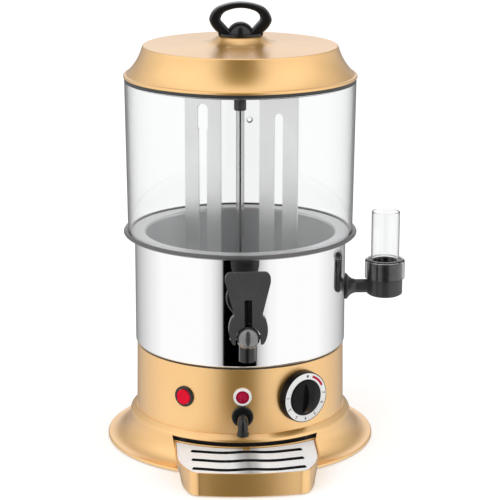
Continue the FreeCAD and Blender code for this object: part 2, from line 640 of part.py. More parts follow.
def make_agitator_hub():
    """Black cap over the column's end, slotted across for the paddle's bridge."""
    body = new_body("agitator_hub")
    socket = "(column_radius + fit_gap)"
    revolve(body, [
        corner("shaft_radius", "column_top + fit_gap"),
        corner(socket, "column_top + fit_gap"),
        corner(socket, "hub_bottom"),
        corner("hub_radius", "hub_bottom", "hub_radius / 8"),
        corner("hub_radius", "hub_top", "hub_radius / 5"),
        corner("0", "hub_top"),
        corner("0", "hub_socket_top"),
        corner("shaft_radius", "hub_socket_top"),
    ])
    half = "hub_radius + fit_gap"
    slot = [corner("-(%s)" % half, "-paddle_gauge / 2"), corner(half, "-paddle_gauge / 2"),
            corner(half, "paddle_gauge / 2"), corner("-(%s)" % half, "paddle_gauge / 2")]
    extrude(body, draw_outline, slot, "hub_top", cuts=True, back=True, plane="XY",
            away="bridge_bottom")
    extrude(body, draw_circles, [("0", "(hub_top + bridge_bottom) / 2", "hub_pin_radius")],
            "3 * hub_radius", cuts=True, middle=True)
    turn_about_axis(body, "paddle_turn")


def turn_about_axis(body, turn):
    """Turn a whole sub-part about the machine's axis."""
    body.setExpression("Placement", "placement(vector(0; 0; 0); rotation(vector(0; 0; 1); %s))"
                       % bound(turn))


def make_agitator_frame():
    """Flat steel paddle: a bridge over the column and two slotted blades down to the bowl."""
    body = new_body("agitator_frame")
    outer, inner = "paddle_outer", "paddle_inner"
    extrude(body, draw_outline, [
        corner("-" + outer, "paddle_bottom", "paddle_corner"),
        corner("-" + inner, "paddle_bottom", "paddle_corner / 2"),
        corner("-" + inner, "bridge_bottom", "paddle_corner / 3"),
        corner(inner, "bridge_bottom", "paddle_corner / 3"),
        corner(inner, "paddle_bottom", "paddle_corner / 2"),
        corner(outer, "paddle_bottom", "paddle_corner"),
        corner(outer, "paddle_top", "paddle_corner"),
        corner("-" + outer, "paddle_top", "paddle_corner"),
    ], "paddle_gauge", middle=True)
    middle = "(paddle_inner + paddle_outer) / 2"
    width = "slot_half_width"
    for side in ("-1", "1"):
        centre = "%s * %s" % (side, middle)
        extrude(body, draw_outline, [
            corner(centre + " - " + width, "slot_bottom", "slot_foot_round"),
            corner(centre + " + " + width, "slot_bottom", "slot_foot_round"),
            corner(centre + " + " + width, "slot_top", "slot_crown_round"),
            corner(centre + " - " + width, "slot_top", "slot_crown_round"),
        ], "3 * paddle_gauge", cuts=True, middle=True)
    head = "slot_head_half"
    centre = "-(%s)" % middle
    extrude(body, draw_outline, [
        corner(centre + " - " + head, "slot_top - slot_head_length", "slot_head_foot_round"),
        corner(centre + " + " + head, "slot_top - slot_head_length", "slot_head_foot_round"),
        corner(centre + " + " + head, "slot_top", "slot_head_round"),
        corner(centre + " - " + head, "slot_top", "slot_head_round"),
    ], "3 * paddle_gauge", cuts=True, middle=True)
    extrude(body, draw_circles, [("0", "(hub_top + bridge_bottom) / 2", "hub_pin_radius")],
            "3 * paddle_gauge", cuts=True, middle=True)
    turn_about_axis(body, "paddle_turn")


def make_agitator_pin():
    """Cross pin that locks the paddle in the hub."""
    body = new_body("agitator_pin")
    extrude(body, draw_circles, [("0", "(hub_top + bridge_bottom) / 2", "hub_pin_radius")],
            "2 * hub_pin_half", middle=True)
    turn_about_axis(body, "paddle_turn")


def make_drive():
    """Coupling, gear motor and the bracket that hangs it from the boiler's floor."""
    coupling = new_body("drive_coupling")
    low = "coupling_top - coupling_length"
    middle = "coupling_top - coupling_length / 2"
    revolve(coupling, [
        corner("0", low), corner("coupling_radius", low, "drive_round"),
        corner("coupling_radius", "coupling_top", "drive_round"),
        corner("shaft_radius", "coupling_top"),
        corner("shaft_radius", middle), corner("0", middle),
    ])
    motor = new_body("gear_motor")
    gearbox_top = "(bracket_top - bracket_gauge)"
    boss_top = "(bracket_top + motor_boss_rise)"
    revolve(motor, [
        corner("0", gearbox_top + " - gearbox_height - motor_height"),
        corner("motor_radius", gearbox_top + " - gearbox_height - motor_height", "motor_round"),
        corner("motor_radius", gearbox_top + " - gearbox_height"),
        corner("gearbox_radius", gearbox_top + " - gearbox_height"),
        corner("gearbox_radius", gearbox_top, "drive_round"),
        corner("motor_boss_radius", gearbox_top),
        corner("motor_boss_radius", boss_top),
        corner("shaft_radius", boss_top),
        corner("shaft_radius", low),
        corner("0", low),
    ])
    bracket = new_body("motor_bracket")
    x, y = "bracket_half_width", "bracket_half_depth"
    extrude(bracket, draw_outline, [
        corner("-" + x, "-" + y, "standoff_radius"), corner(x, "-" + y, "standoff_radius"),
        corner(x, y, "standoff_radius"), corner("-" + x, y, "standoff_radius"),
    ], "bracket_gauge", back=True, plane="XY", away="bracket_top")
    legs = [("%d * standoff_x" % a, "%d * standoff_y" % b, "standoff_radius")
            for a in (-1, 1) for b in (-1, 1)]
    extrude(bracket, draw_circles, legs, BOILER_BOTTOM + " - bracket_top", plane="XY",
            away="bracket_top")
    extrude(bracket, draw_circles, [("0", "0", "motor_boss_radius")], "3 * bracket_gauge",
            cuts=True, middle=True, plane="XY", away="bracket_top")


# --------------------------------------------------------------- tank and lid
def make_tank_cylinder():
    """Clear tank, a slightly flared tube with one vent hole at the front."""
    body = new_body("tank_cylinder")
    revolve(body, [
        corner("tank_foot_radius - tank_wall", TANK_BOTTOM),
        corner("tank_foot_radius", TANK_BOTTOM),
        corner(HEAD_RADIUS, TANK_TOP),
        corner(HEAD_RADIUS + " - tank_wall", TANK_TOP),
    ])
    vent = [("0", TANK_TOP + " - vent_drop", "vent_radius")]
    extrude(body, draw_circles, vent, "2 * tank_foot_radius", cuts=True, back=True,
            turn="vent_turn")


def make_lid_seal():
    """Black ring over the tank's edge with a lip that hangs inside it."""
    body = new_body("lid_seal")
    lip_outer = "(%s - tank_wall - fit_gap)" % HEAD_RADIUS
    taper = "tank_flare * seal_depth / tank_height"
    revolve(body, [
        corner(lip_outer + " - seal_lip", TANK_TOP + " - seal_depth"),
        corner("%s - %s" % (lip_outer, taper), TANK_TOP + " - seal_depth"),
        corner(lip_outer, TANK_TOP),
        corner(HEAD_RADIUS, TANK_TOP),
        corner(HEAD_RADIUS, BRIM_LEVEL),
        corner(lip_outer + " - seal_lip", BRIM_LEVEL),
    ])


def make_lid_shell():
    """Spun gold lid: rolled brim, concave waist, sloping side, flat top and a raised boss."""
    body = new_body("lid_shell")
    gauge = "lid_gauge"

    def at(rise):
        return "%s + %s" % (BRIM_LEVEL, rise)

    revolve(body, [
        corner("0", at("boss_rise")),
        corner("0", at("boss_rise - " + gauge)),
        corner("boss_radius - lid_gauge", at("boss_rise - " + gauge), "boss_rise / 14"),
        corner("boss_foot_radius", at("boss_foot_rise - " + gauge), "boss_rise / 14"),
        corner(SHOULDER_RADIUS + " - lid_gauge", at("shoulder_rise - " + gauge),
               "shoulder_round - " + gauge),
        corner(WAIST_RADIUS + " - lid_gauge", at("lid_waist_rise"), None),
        corner(BRIM_RADIUS + " - brim_roll", at("brim_roll - lid_gauge"), None,
               "lid_waist_rise + lid_gauge"),
        corner(BRIM_RADIUS + " - brim_roll", at("0")),
        corner(BRIM_RADIUS, at("0"), "lid_gauge / 2"),
        corner(BRIM_RADIUS, at("brim_roll"), "lid_gauge"),
        corner(BRIM_RADIUS + " - brim_roll", at("brim_roll + lid_gauge / 2")),
        corner(WAIST_RADIUS, at("lid_waist_rise + lid_gauge"), None,
               "-(lid_waist_rise - lid_gauge / 2)"),
        corner(SHOULDER_RADIUS, at("shoulder_rise"), "shoulder_round"),
        corner("boss_foot_radius + lid_gauge", at("boss_foot_rise"), "boss_rise / 7"),
        corner("boss_radius", at("boss_rise"), "boss_rise / 14"),
    ])
    extrude(body, draw_circles, [("0", "0", "handle_screw_radius")], "2 * boss_rise",
            cuts=True, back=True, plane="XY", away=BRIM_LEVEL)


def make_handle():
    """Moulded loop handle: a round foot, two legs that spread and an arched crown."""
    body = new_body("lid_handle")
    reach, widest = "handle_reach", above_boss("handle_widest_rise")
    crown = above_boss("handle_rise - crown_drop")
    extrude(body, draw_outline, [
        corner("-handle_foot", BOSS_LEVEL),
        corner("handle_foot", BOSS_LEVEL),
        corner("handle_root", above_boss("handle_root_rise")),
        corner(reach, widest, None, "handle_leg_bow"),
        corner("crown_half", crown, None, "handle_side_bow"),
        corner("-crown_half", crown, None, "crown_bow"),
        corner("-" + reach, widest, None, "handle_side_bow"),
        corner("-handle_root", above_boss("handle_root_rise"), None, "handle_leg_bow"),
    ], "handle_depth", middle=True)
    arch = above_boss("finger_top - arch_drop")
    floor = above_boss("handle_foot_gauge")
    extrude(body, draw_outline, [
        corner("-finger_foot_half", floor),
        corner("finger_foot_half", floor),
        corner("finger_half_width", widest),
        corner("arch_half", arch, None, "finger_side_bow"),
        corner("-arch_half", arch, None, "arch_bow"),
        corner("-finger_half_width", widest, None, "finger_side_bow"),
    ], "2 * handle_depth", cuts=True, middle=True)
    dress(body, "Fillet", "finger_round", lambda edge: stands_at(edge, "finger_half_width", widest))
    dress(body, "Fillet", "handle_round", lambda edge: on_handle_face(edge, crown))
    disc = [("0", "0", "handle_foot")]
    extrude(body, draw_circles, disc, "handle_foot_gauge", plane="XY", away=BOSS_LEVEL)
    seat = "(cap_radius + fit_gap)"
    top = "(cap_rise + fit_gap)"
    revolve(body, [
        corner("0", floor),
        corner(seat, floor),
        corner("0", above_boss(top), None, cap_bow(seat, top + " - handle_foot_gauge")),
    ], cuts=True)
    bore = [("0", "0", "handle_screw_radius")]
    extrude(body, draw_circles, bore, "3 * handle_foot_gauge", cuts=True, middle=True,
            plane="XY", away=BOSS_LEVEL)


def above_boss(rise):
    """Level at a rise above the lid's boss."""
    return "(%s + %s)" % (BOSS_LEVEL, rise)


def stands_at(edge, half_width, level):
    """Whether an edge runs through the handle at a half-width and a level."""
    middle = edge.CenterOfMass
    return (abs(abs(middle.x) - size(half_width)) < 0.1 and abs(middle.z - size(level)) < 0.1
            and edge.BoundBox.YLength > 1)


def on_handle_face(edge, crown):
    """Whether an edge bounds the handle's front or back face above its foot."""
    box = edge.BoundBox
    flat = box.YLength < 0.01 and abs(abs(edge.CenterOfMass.y) - size("handle_depth / 2")) < 0.1
    return flat and box.ZMax > size(above_boss("handle_root_rise")) + 0.1


def make_handle_cap():
    """Dome cap in the handle's foot, and the screw and washer that hold both from below."""
    floor = above_boss("handle_foot_gauge")
    bore_top = above_boss("(handle_foot_gauge + cap_bore_depth)")
    cap = new_body("handle_cap")
    revolve(cap, [
        corner("handle_screw_radius", floor),
        corner("cap_radius", floor),
        corner("0", above_boss("cap_rise"), None,
               cap_bow("cap_radius", "cap_rise - handle_foot_gauge")),
        corner("0", bore_top),
        corner("handle_screw_radius", bore_top),
    ])
    washer = new_body("handle_washer")
    under = "(%s - lid_gauge)" % BOSS_LEVEL
    revolve(washer, tube("handle_screw_radius", "washer_radius", under + " - washer_gauge", under))
    screw = new_body("handle_screw")
    head = "(%s - washer_gauge)" % under
    tip = bore_top + " - handle_screw_gap"
    revolve(screw, [
        corner("0", head + " - handle_screw_radius"),
        corner("handle_screw_head", head + " - handle_screw_radius", "handle_screw_radius / 3"),
        corner("handle_screw_head", head),
        corner("handle_screw_radius", head),
        corner("handle_screw_radius", tip),
        corner("0", tip),
    ])


# ------------------------------------------------------------------------- tap
TAP_INNER_END = "(bowl_mouth_radius - tap_nut_height - tap_nut_margin)"


def make_tap_fixings():
    """Threaded shank through jacket and bowl, its nut inside and its gasket outside."""
    place = {"turn": "0", "level": "tap_level"}
    shank = new_body("tap_shank", **place)
    revolve(shank, tube("tap_shank_bore", "tap_shank_radius", TAP_INNER_END,
                        SPOUT_REACH + " - tap_bore"))
    nut = new_body("tap_nut", **place)
    extrude(nut, draw_hexagon, "tap_nut_span", "tap_nut_height", back=True, plane="XY",
            away=nut_seat("bowl_mouth_radius", "tap_nut_span"))
    extrude(nut, draw_circles, [("0", "0", "tap_shank_radius")], "3 * tap_nut_height",
            cuts=True, middle=True, plane="XY", away="bowl_mouth_radius")
    gasket = new_body("tap_gasket", **place)
    revolve(gasket, tube("tap_shank_radius", "tap_gasket_radius", "jacket_radius",
                         "jacket_radius + tap_gasket_gauge"))


def make_tap_body():
    """Moulded body: flange and level barrel, a tower with the spout, and the cam chamber."""
    body = new_body("tap_body", turn="0")
    back = "(jacket_radius + tap_gasket_gauge)"
    face = "(%s + tap_flange_gauge)" % back
    extrude(body, draw_circles, [("0", "tap_level", "tap_flange_radius")],
            "tap_flange_gauge", plane="XY", away=back)
    dress(body, "Fillet", "tap_flange_gauge / 2",
          lambda edge: edge.BoundBox.ZMin > size(face) - 0.1)
    extrude(body, draw_circles, [("0", "tap_level", "tap_barrel_radius")],
            "spout_lead", plane="XY", away=back)
    extrude(body, draw_circles, [("0", SPOUT_REACH, "tap_tower_radius")],
            "tap_tower_top - spout_shoulder", plane="XZ", away="-tap_tower_top")
    extrude(body, draw_circles, [("0", SPOUT_REACH, "spout_radius")],
            "tap_tower_top - spout_bottom", plane="XZ", away="-tap_tower_top")
    extrude(body, draw_circles, [("0", "pivot_level", "chamber_radius")],
            "chamber_length", plane="XY", away=SPOUT_REACH)
    extrude(body, draw_circles, [("0", "tap_level", "tap_shank_radius")],
            SPOUT_REACH + " - tap_bore", cuts=True, back=True, plane="XY")
    extrude(body, draw_circles, [("0", SPOUT_REACH, "tap_bore")],
            "tap_level + tap_barrel_radius / 2 - seat_top", cuts=True, back=True, plane="XZ",
            away="-(tap_level + tap_barrel_radius / 2)")
    extrude(body, draw_circles, [("0", SPOUT_REACH, "seat_bore")], "tap_level - spout_bottom",
            cuts=True, back=True, plane="XZ", away="-tap_level")
    extrude(body, draw_circles, [("0", SPOUT_REACH, "spout_bore")],
            "seat_bottom - spout_bottom", cuts=True, back=True, plane="XZ", away="-seat_bottom")
    extrude(body, draw_circles, [("0", "pivot_level", "chamber_bore")],
            "chamber_length", cuts=True, back=True, plane="XY", away=SPOUT_REACH)
    extrude(body, draw_circles, [("pivot_level", PIVOT_REACH, "pin_radius + shaft_play")],
            "4 * pin_half", cuts=True, middle=True, plane="YZ")


def make_tap_dome():
    """Glossy dome that closes the cam chamber, a sphere about the lever's pivot."""
    body = new_body("tap_dome", turn="0", level="pivot_level")
    rim = "sqrt(dome_radius ^ 2 - (chamber_length - pivot_lead) ^ 2)"
    revolve(body, [
        corner("0", CHAMBER_END),
        corner(rim, CHAMBER_END),
        corner("0", PIVOT_REACH + " + dome_radius", None, "dome_radius"),
    ])


def make_tap_plunger():
    """Plunger in the tower: a plug on the seat and a collar that the cam lifts."""
    body = new_body("tap_plunger")
    revolve(body, [
        corner("0", "seat_top"),
        corner("tap_bore - fit_gap", "seat_top"),
        corner("tap_bore - fit_gap", "seat_top + plunger_plug_height"),
        corner("plunger_rod_radius", "seat_top + plunger_plug_height"),
        corner("plunger_rod_radius", "plunger_collar_level"),
        corner("tap_bore - fit_gap", "plunger_collar_level"),
        corner("tap_bore - fit_gap", "plunger_collar_level + plunger_collar_gauge"),
        corner("plunger_rod_radius", "plunger_collar_level + plunger_collar_gauge"),
        corner("plunger_rod_radius", "plunger_top"),
        corner("0", "plunger_top"),
    ])
    body.setExpression("Placement", "placement(vector(0; %s; 0); rotation(vector(0; 0; 1); 0))"
                       % bound("-" + SPOUT_REACH))


def make_tap_pivot_pin():
    """Cross pin keyed to the lever, with the cam nose that lifts the plunger."""
    body = new_body("tap_pivot_pin", turn="0", level="pivot_level")
    centre = [("0", PIVOT_REACH, "pin_radius")]
    extrude(body, draw_circles, centre, "2 * pin_half", middle=True, plane="YZ")
    tip = PIVOT_REACH + " - cam_nose"
    extrude(body, draw_outline, [
        corner("-cam_nose_half", tip), corner("cam_nose_half", tip),
        corner("cam_nose_half", PIVOT_REACH), corner("-cam_nose_half", PIVOT_REACH),
    ], "2 * cam_half", middle=True, plane="YZ")


def make_tap_lever():
    """Wide lever plate that narrows to a waist and forks round the cam chamber."""
    body = new_body("tap_lever", turn="0")
    back, gauge = LEVER_BACK, "lever_gauge"
    extrude(body, draw_outline, [
        corner("lever_bottom", LEVER_ARM_BACK, "lever_gauge"),
        corner("pivot_level + lever_heel_rise", LEVER_ARM_BACK, "lever_heel_round"),
        corner("lever_step_level", back, "lever_heel_round"),
        corner("lever_bend_level", back, "lever_bend_round"),
        corner("lever_top", back + " - lever_lean", "lever_edge_round"),
        corner("lever_top", back + " - lever_lean + " + gauge, "lever_edge_round"),
        corner("lever_bend_level", back + " + " + gauge, "lever_bend_round"),
        corner("lever_knee_level", LEVER_ARM_FRONT, "lever_knee_round"),
        corner("lever_bottom", LEVER_ARM_FRONT, "lever_gauge"),
    ], "2 * lever_half_top", middle=True, plane="YZ")
    for side in ("1", "-1"):
        cut_lever_side(body, side)
    slot = "fork_slot_half"
    extrude(body, draw_outline, [
        corner("-" + slot, "0"), corner(slot, "0"), corner(slot, "fork_slot_top", "fork_round"),
        corner("-" + slot, "fork_slot_top", "fork_round"),
    ], "2 * " + LEVER_ARM_FRONT, cuts=True, middle=True, plane="XY")
    extrude(body, draw_circles, [("0", "pivot_level", "fork_eye_radius")],
            "2 * " + LEVER_ARM_FRONT, cuts=True, middle=True, plane="XY")
    below = [corner("-fork_eye_radius", "0"), corner("fork_eye_radius", "0"),
             corner("fork_eye_radius", "pivot_level"), corner("-fork_eye_radius", "pivot_level")]
    extrude(body, draw_outline, below, "2 * " + LEVER_ARM_FRONT, cuts=True, middle=True, plane="XY")
    extrude(body, draw_circles, [("pivot_level", PIVOT_REACH, "pin_radius")], "4 * pin_half",
            cuts=True, middle=True, plane="YZ")


def cut_lever_side(body, side):
    """Trim one side of the lever to its outline: shoulder, waist and bulged fork arm."""
    def at(half, level, bow=None):
        return corner("%s * (%s)" % (side, half), level, None,
                      None if bow is None else "%s * (%s)" % (side, bow))
    clear = "4 * lever_half_top"
    extrude(body, draw_outline, [
        at(clear, "lever_top + lever_corner"),
        at("lever_half_top - lever_corner", "lever_top + lever_corner"),
        at("lever_half_top - lever_corner", "lever_top"),
        at("lever_half_top", "lever_top - lever_corner", "-lever_corner"),
        at("lever_half_top", "lever_shoulder"),
        at("lever_waist", "lever_waist_level"),
        at("lever_arm_half", "lever_arm_level"),
        at("lever_tip_half", "lever_bottom", "-lever_tip_bow"),
        at("lever_tip_half", "lever_bottom - lever_corner"),
        at(clear, "lever_bottom - lever_corner"),
    ], "2 * " + LEVER_ARM_FRONT, cuts=True, middle=True, plane="XY")


# ---------------------------------------------------------------- water inlet
def make_inlet():
    """Water filler at the right: pipe and cup in one moulding, collar and clear tube."""
    place = {"turn": "inlet_turn", "level": "inlet_level"}
    pipe = new_body("inlet_pipe", **place)
    flange = "jacket_radius + inlet_gasket_gauge"
    revolve(pipe, [
        corner("inlet_bore", JACKET_BORE + " - inlet_nut_height"),
        corner("inlet_pipe_radius", JACKET_BORE + " - inlet_nut_height"),
        corner("inlet_pipe_radius", flange),
        corner("inlet_flange_radius", flange),
        corner("inlet_flange_radius", flange + " + inlet_flange_gauge / 4"),
        corner("inlet_pipe_radius", flange + " + inlet_flange_gauge", None,
               "-2 * inlet_flange_gauge"),
        corner("inlet_pipe_radius", "inlet_reach - cup_chamber_radius - cup_wall / 2"),
        corner("inlet_bore", "inlet_reach - cup_chamber_radius - cup_wall / 2"),
    ])
    gasket = new_body("inlet_gasket", **place)
    revolve(gasket, tube("inlet_pipe_radius", "inlet_flange_radius", "jacket_radius", flange))
    nut = new_body("inlet_nut", **place)
    extrude(nut, draw_hexagon, "inlet_nut_span", "inlet_nut_height", back=True, plane="XY",
            away=nut_seat(JACKET_BORE, "inlet_nut_span"))
    extrude(nut, draw_circles, [("0", "0", "inlet_pipe_radius")], "3 * inlet_nut_height",
            cuts=True, middle=True, plane="XY", away=JACKET_BORE)
    make_inlet_cup()
    make_inlet_tube()


def stand_at_inlet(body):
    """Place an upright sub-part on the inlet cup's axis, its +Y towards the machine."""
    body.setExpression("Placement", (
        "placement(vector(%s; %s; 0); rotation(vector(0; 0; 1); %s))"
    ) % (bound("inlet_reach * sin(inlet_turn)"), bound("-inlet_reach * cos(inlet_turn)"),
         bound("inlet_turn")))


def make_inlet_cup():
    """Black cup with a rounded foot, a socket for the tube and a hole for the pipe."""
    cup = new_body("inlet_cup")
    socket = "(glass_radius + fit_gap)"
    revolve(cup, [
        corner("0", "cup_bottom"),
        corner("cup_foot_radius", "cup_bottom"),
        corner("cup_radius", "cup_bottom + cup_heel", None, "cup_radius / 2"),
        corner("cup_radius", "cup_top"),
        corner(socket, "cup_top"),
        corner(socket, "glass_bottom"),
        corner("cup_chamber_radius", "glass_bottom"),
        corner("cup_chamber_radius", "cup_bottom + cup_wall", "cup_wall"),
        corner("0", "cup_bottom + cup_wall"),
    ])
    extrude(cup, draw_circles, [("0", "inlet_level", "inlet_pipe_radius")],
            "inlet_reach", cuts=True)
    stand_at_inlet(cup)


def make_inlet_tube():
    """Clear screw collar and the clear filler tube that stands in the cup."""
    collar = new_body("inlet_collar")
    bore = "(cup_radius + fit_gap)"
    revolve(collar, [
        corner(bore, "collar_bottom"),
        corner("collar_radius", "collar_bottom", "collar_edge"),
        corner("collar_radius", "collar_top", "collar_round"),
        corner("glass_radius + fit_gap", "collar_top"),
        corner("glass_radius + fit_gap", "cup_top"),
        corner(bore, "cup_top"),
    ])
    stand_at_inlet(collar)
    glass = new_body("inlet_tube")
    revolve(glass, [
        corner("glass_radius - glass_wall", "glass_bottom"),
        corner("glass_radius", "glass_bottom"),
        corner("glass_radius", "glass_top", "glass_wall / 3"),
        corner("glass_radius - glass_wall", "glass_top", "glass_wall / 3"),
    ])
    stand_at_inlet(glass)


# --------------------------------------------------------- switch row on the panel
def make_switch():
    """Round rocker switch: a black bezel with its barrel, and the red rocker."""
    bezel = new_body("switch_bezel", turn="switch_turn", level="switch_level")
    seat = flange_seat("switch_level", "switch_bezel_radius")
    face = "(%s + switch_bezel_gauge)" % seat
    well = "(rocker_radius + rocker_gap)"
    revolve(bezel, [
        corner("0", seat + " - switch_body_depth"),
        corner("switch_body_radius", seat + " - switch_body_depth"),
        corner("switch_body_radius", seat),
        corner("switch_bezel_radius", seat),
        corner("switch_bezel_radius", face, "switch_bezel_gauge / 3"),
        corner(well, face),
        corner(well, face + " - rocker_root - rocker_rise"),
        corner("0", face + " - rocker_root - rocker_rise"),
    ])
    axle = face + " - rocker_root / 2"
    length = "2 * (%s + rocker_pin_grip)" % well
    extrude(bezel, draw_circles, [("0", axle, "rocker_pin_radius + spindle_play")],
            length + " + 2 * spindle_play", cuts=True, middle=True, plane="YZ")
    rocker = new_body("switch_rocker", turn="switch_turn", level="switch_level")
    extrude(rocker, draw_circles, [("0", "0", "rocker_radius")],
            "rocker_root + rocker_edge", plane="XY", away=face + " - rocker_root")
    extrude(rocker, draw_outline, [
        corner("-2 * rocker_radius", face + " + rocker_rise"),
        corner("0", face),
        corner("2 * rocker_radius", face + " + rocker_rise"),
        corner("2 * rocker_radius", face + " + 3 * rocker_rise"),
        corner("-2 * rocker_radius", face + " + 3 * rocker_rise"),
    ], "4 * rocker_radius", cuts=True, middle=True, plane="YZ")
    extrude(rocker, draw_circles, [("0", axle, "rocker_pin_radius")], length, middle=True,
            plane="YZ")


def make_lamp():
    """Signal lamp: a white bezel with its barrel through the panel, and a red lens."""
    place = {"turn": "lamp_turn", "level": "lamp_level"}
    bezel = new_body("lamp_bezel", **place)
    seat = flange_seat("lamp_level", "lamp_bezel_radius")
    face = "(%s + lamp_bezel_gauge)" % seat
    revolve(bezel, [
        corner("0", seat + " - lamp_body_depth"),
        corner("lamp_body_radius", seat + " - lamp_body_depth", "lamp_body_round"),
        corner("lamp_body_radius", seat),
        corner("lamp_bezel_radius", seat),
        corner("lamp_bezel_radius", face, "lamp_bezel_gauge / 2"),
        corner("lens_radius", face),
        corner("lens_radius", seat),
        corner("0", seat),
    ])
    lens = new_body("lamp_lens", **place)
    revolve(lens, [
        corner("0", seat),
        corner("lens_radius", seat),
        corner("lens_radius", face),
        corner("0", face + " + lens_rise", None, cap_bow("lens_radius", "lens_rise")),
    ])


def make_thermostat():
    """Thermostat body behind the panel, its spindle, and the knob with its white dial ring."""
    place = {"turn": "dial_turn", "level": "dial_level"}
    turned = dict(place, tilt="grip_tilt")
    body = new_body("thermostat_body", **place)
    half, tall = "thermostat_half_width", "thermostat_half_height"
    front = "(sqrt(%s ^ 2 - %s ^ 2) - thermostat_gap)" % (PANEL_BORE, half)
    rounding = "thermostat_round"
    extrude(body, draw_outline, [
        corner("-" + half, "-" + tall, rounding), corner(half, "-" + tall, rounding),
        corner(half, tall, rounding), corner("-" + half, tall, rounding),
    ], "thermostat_depth", back=True, plane="XY", away=front)
    extrude(body, draw_circles, [("0", "0", "thermostat_boss_radius")],
            PANEL_BORE + " - " + front, plane="XY", away=front)
    extrude(body, draw_circles, [("0", "0", "spindle_radius + spindle_play")],
            "thermostat_depth", cuts=True, plane="XY", away=PANEL_BORE)
    spindle = new_body("thermostat_spindle", **turned)
    knob_back = "(%s + knob_gap)" % panel_face("dial_level")
    revolve(spindle, tube("0", "spindle_radius", PANEL_BORE + " - thermostat_depth + fit_gap",
                          knob_back + " + knob_gauge"))
    make_knob(turned, knob_back)


def make_knob(place, back):
    """Black knob skirt, white dial ring let into its face, and the low grip with its arched blade."""
    face = "(%s + knob_gauge)" % back
    knob = new_body("thermostat_knob", **place)
    revolve(knob, [
        corner("spindle_radius", back),
        corner("knob_radius", back),
        corner("knob_radius - knob_rim", face, None),
        corner("dial_ring_outer", face),
        corner("dial_ring_outer", face + " - dial_ring_gauge"),
        corner("dial_ring_inner", face + " - dial_ring_gauge"),
        corner("dial_ring_inner", face),
        corner("spindle_radius", face),
    ])
    ring = new_body("dial_ring", **place)
    revolve(ring, tube("dial_ring_inner", "dial_ring_outer", face + " - dial_ring_gauge", face))
    grip = new_body("knob_grip", **place)
    revolve(grip, [
        corner("0", face),
        corner("grip_radius", face),
        corner("grip_radius", face + " + grip_skirt"),
        corner("0", face + " + grip_rise", None,
               cap_bow("grip_radius", "grip_rise - grip_skirt")),
    ])
    extrude(grip, draw_outline, [
        corner("-grip_blade_reach", face, None, cap_bow("grip_blade_reach", "grip_blade_rise")),
        corner("grip_blade_reach", face),
    ], "2 * grip_blade_half", middle=True, plane="YZ")


def make_drain():
    """Drain of the water bath: pipe from the boiler's floor, collar, and the bent spout."""
    pipe = new_body("drain_pipe", turn="drain_turn", level="drain_level")
    bend, reach = "drain_bend", "drain_pipe_reach"
    top = BOILER_BOTTOM + " - drain_level"
    rings = [("drain_pipe_radius", False), ("drain_pipe_bore", True)]
    for radius, cuts in rings:
        add_elbow(pipe, radius, cuts, reach + " + " + bend, bend, "1")
        extrude(pipe, draw_circles, [("0", reach, radius)], top + " - " + bend, cuts=cuts,
                back=not cuts, plane="XZ", away="-(%s)" % bend)
        extrude(pipe, draw_circles, [("0", "0", radius)],
                "%s - %s - %s - drain_collar_gauge" % (PANEL_BORE, reach, bend),
                cuts=cuts, back=cuts, plane="XY", away=reach + " + " + bend)
    collar = new_body("drain_collar", turn="drain_turn", level="drain_level")
    seat = flange_seat("drain_level", "drain_collar_radius")
    face = "(%s + drain_collar_gauge)" % seat
    bore = "(drain_spout_radius + spindle_play)"
    revolve(collar, [
        corner("drain_pipe_bore", PANEL_BORE + " - drain_collar_gauge"),
        corner("spigot_radius", PANEL_BORE + " - drain_collar_gauge"),
        corner("spigot_radius", seat),
        corner("drain_collar_radius", seat),
        corner("drain_collar_radius", face, "drain_collar_gauge / 3"),
        corner(bore, face),
        corner(bore, seat),
        corner("drain_pipe_bore", seat),
    ])
    spout = new_body("drain_spout", turn="drain_turn", level="drain_level")
    stem_end = "(%s + spout_stem)" % seat
    for radius, cuts in (("drain_spout_radius", False), ("drain_spout_bore", True)):
        extrude(spout, draw_circles, [("0", "0", radius)], "spout_stem", cuts=cuts, back=cuts,
                plane="XY", away=seat)
        add_elbow(spout, radius, cuts, stem_end, bend, "-1")
        extrude(spout, draw_circles, [("0", stem_end + " + " + bend, radius)],
                "drain_drop - drain_bend", cuts=cuts, back=cuts, plane="XZ", away=bend)
        if not cuts:
            extrude(spout, draw_circles, [("0", stem_end + " + " + bend, "drain_tip_radius")],
                    "drain_tip_length", plane="XZ", away="drain_drop - drain_tip_length")


def add_elbow(body, radius, cuts, start, bend, side):
    """Quarter bend from the outward direction to the vertical, side 1 upwards, -1 down."""
    sketch = new_sketch(body, plane="XY", away=start, up="%s * %s" % (side, bend))
    draw_circles(sketch, [("0", "-(%s) * %s" % (side, bend), radius)])
    feature = body.newObject("PartDesign::Groove" if cuts else "PartDesign::Revolution", "Bend")
    feature.Profile = sketch
    feature.ReferenceAxis = (sketch, ["H_Axis"])
    feature.Angle = 90
    return finish_feature(body, feature, cuts)


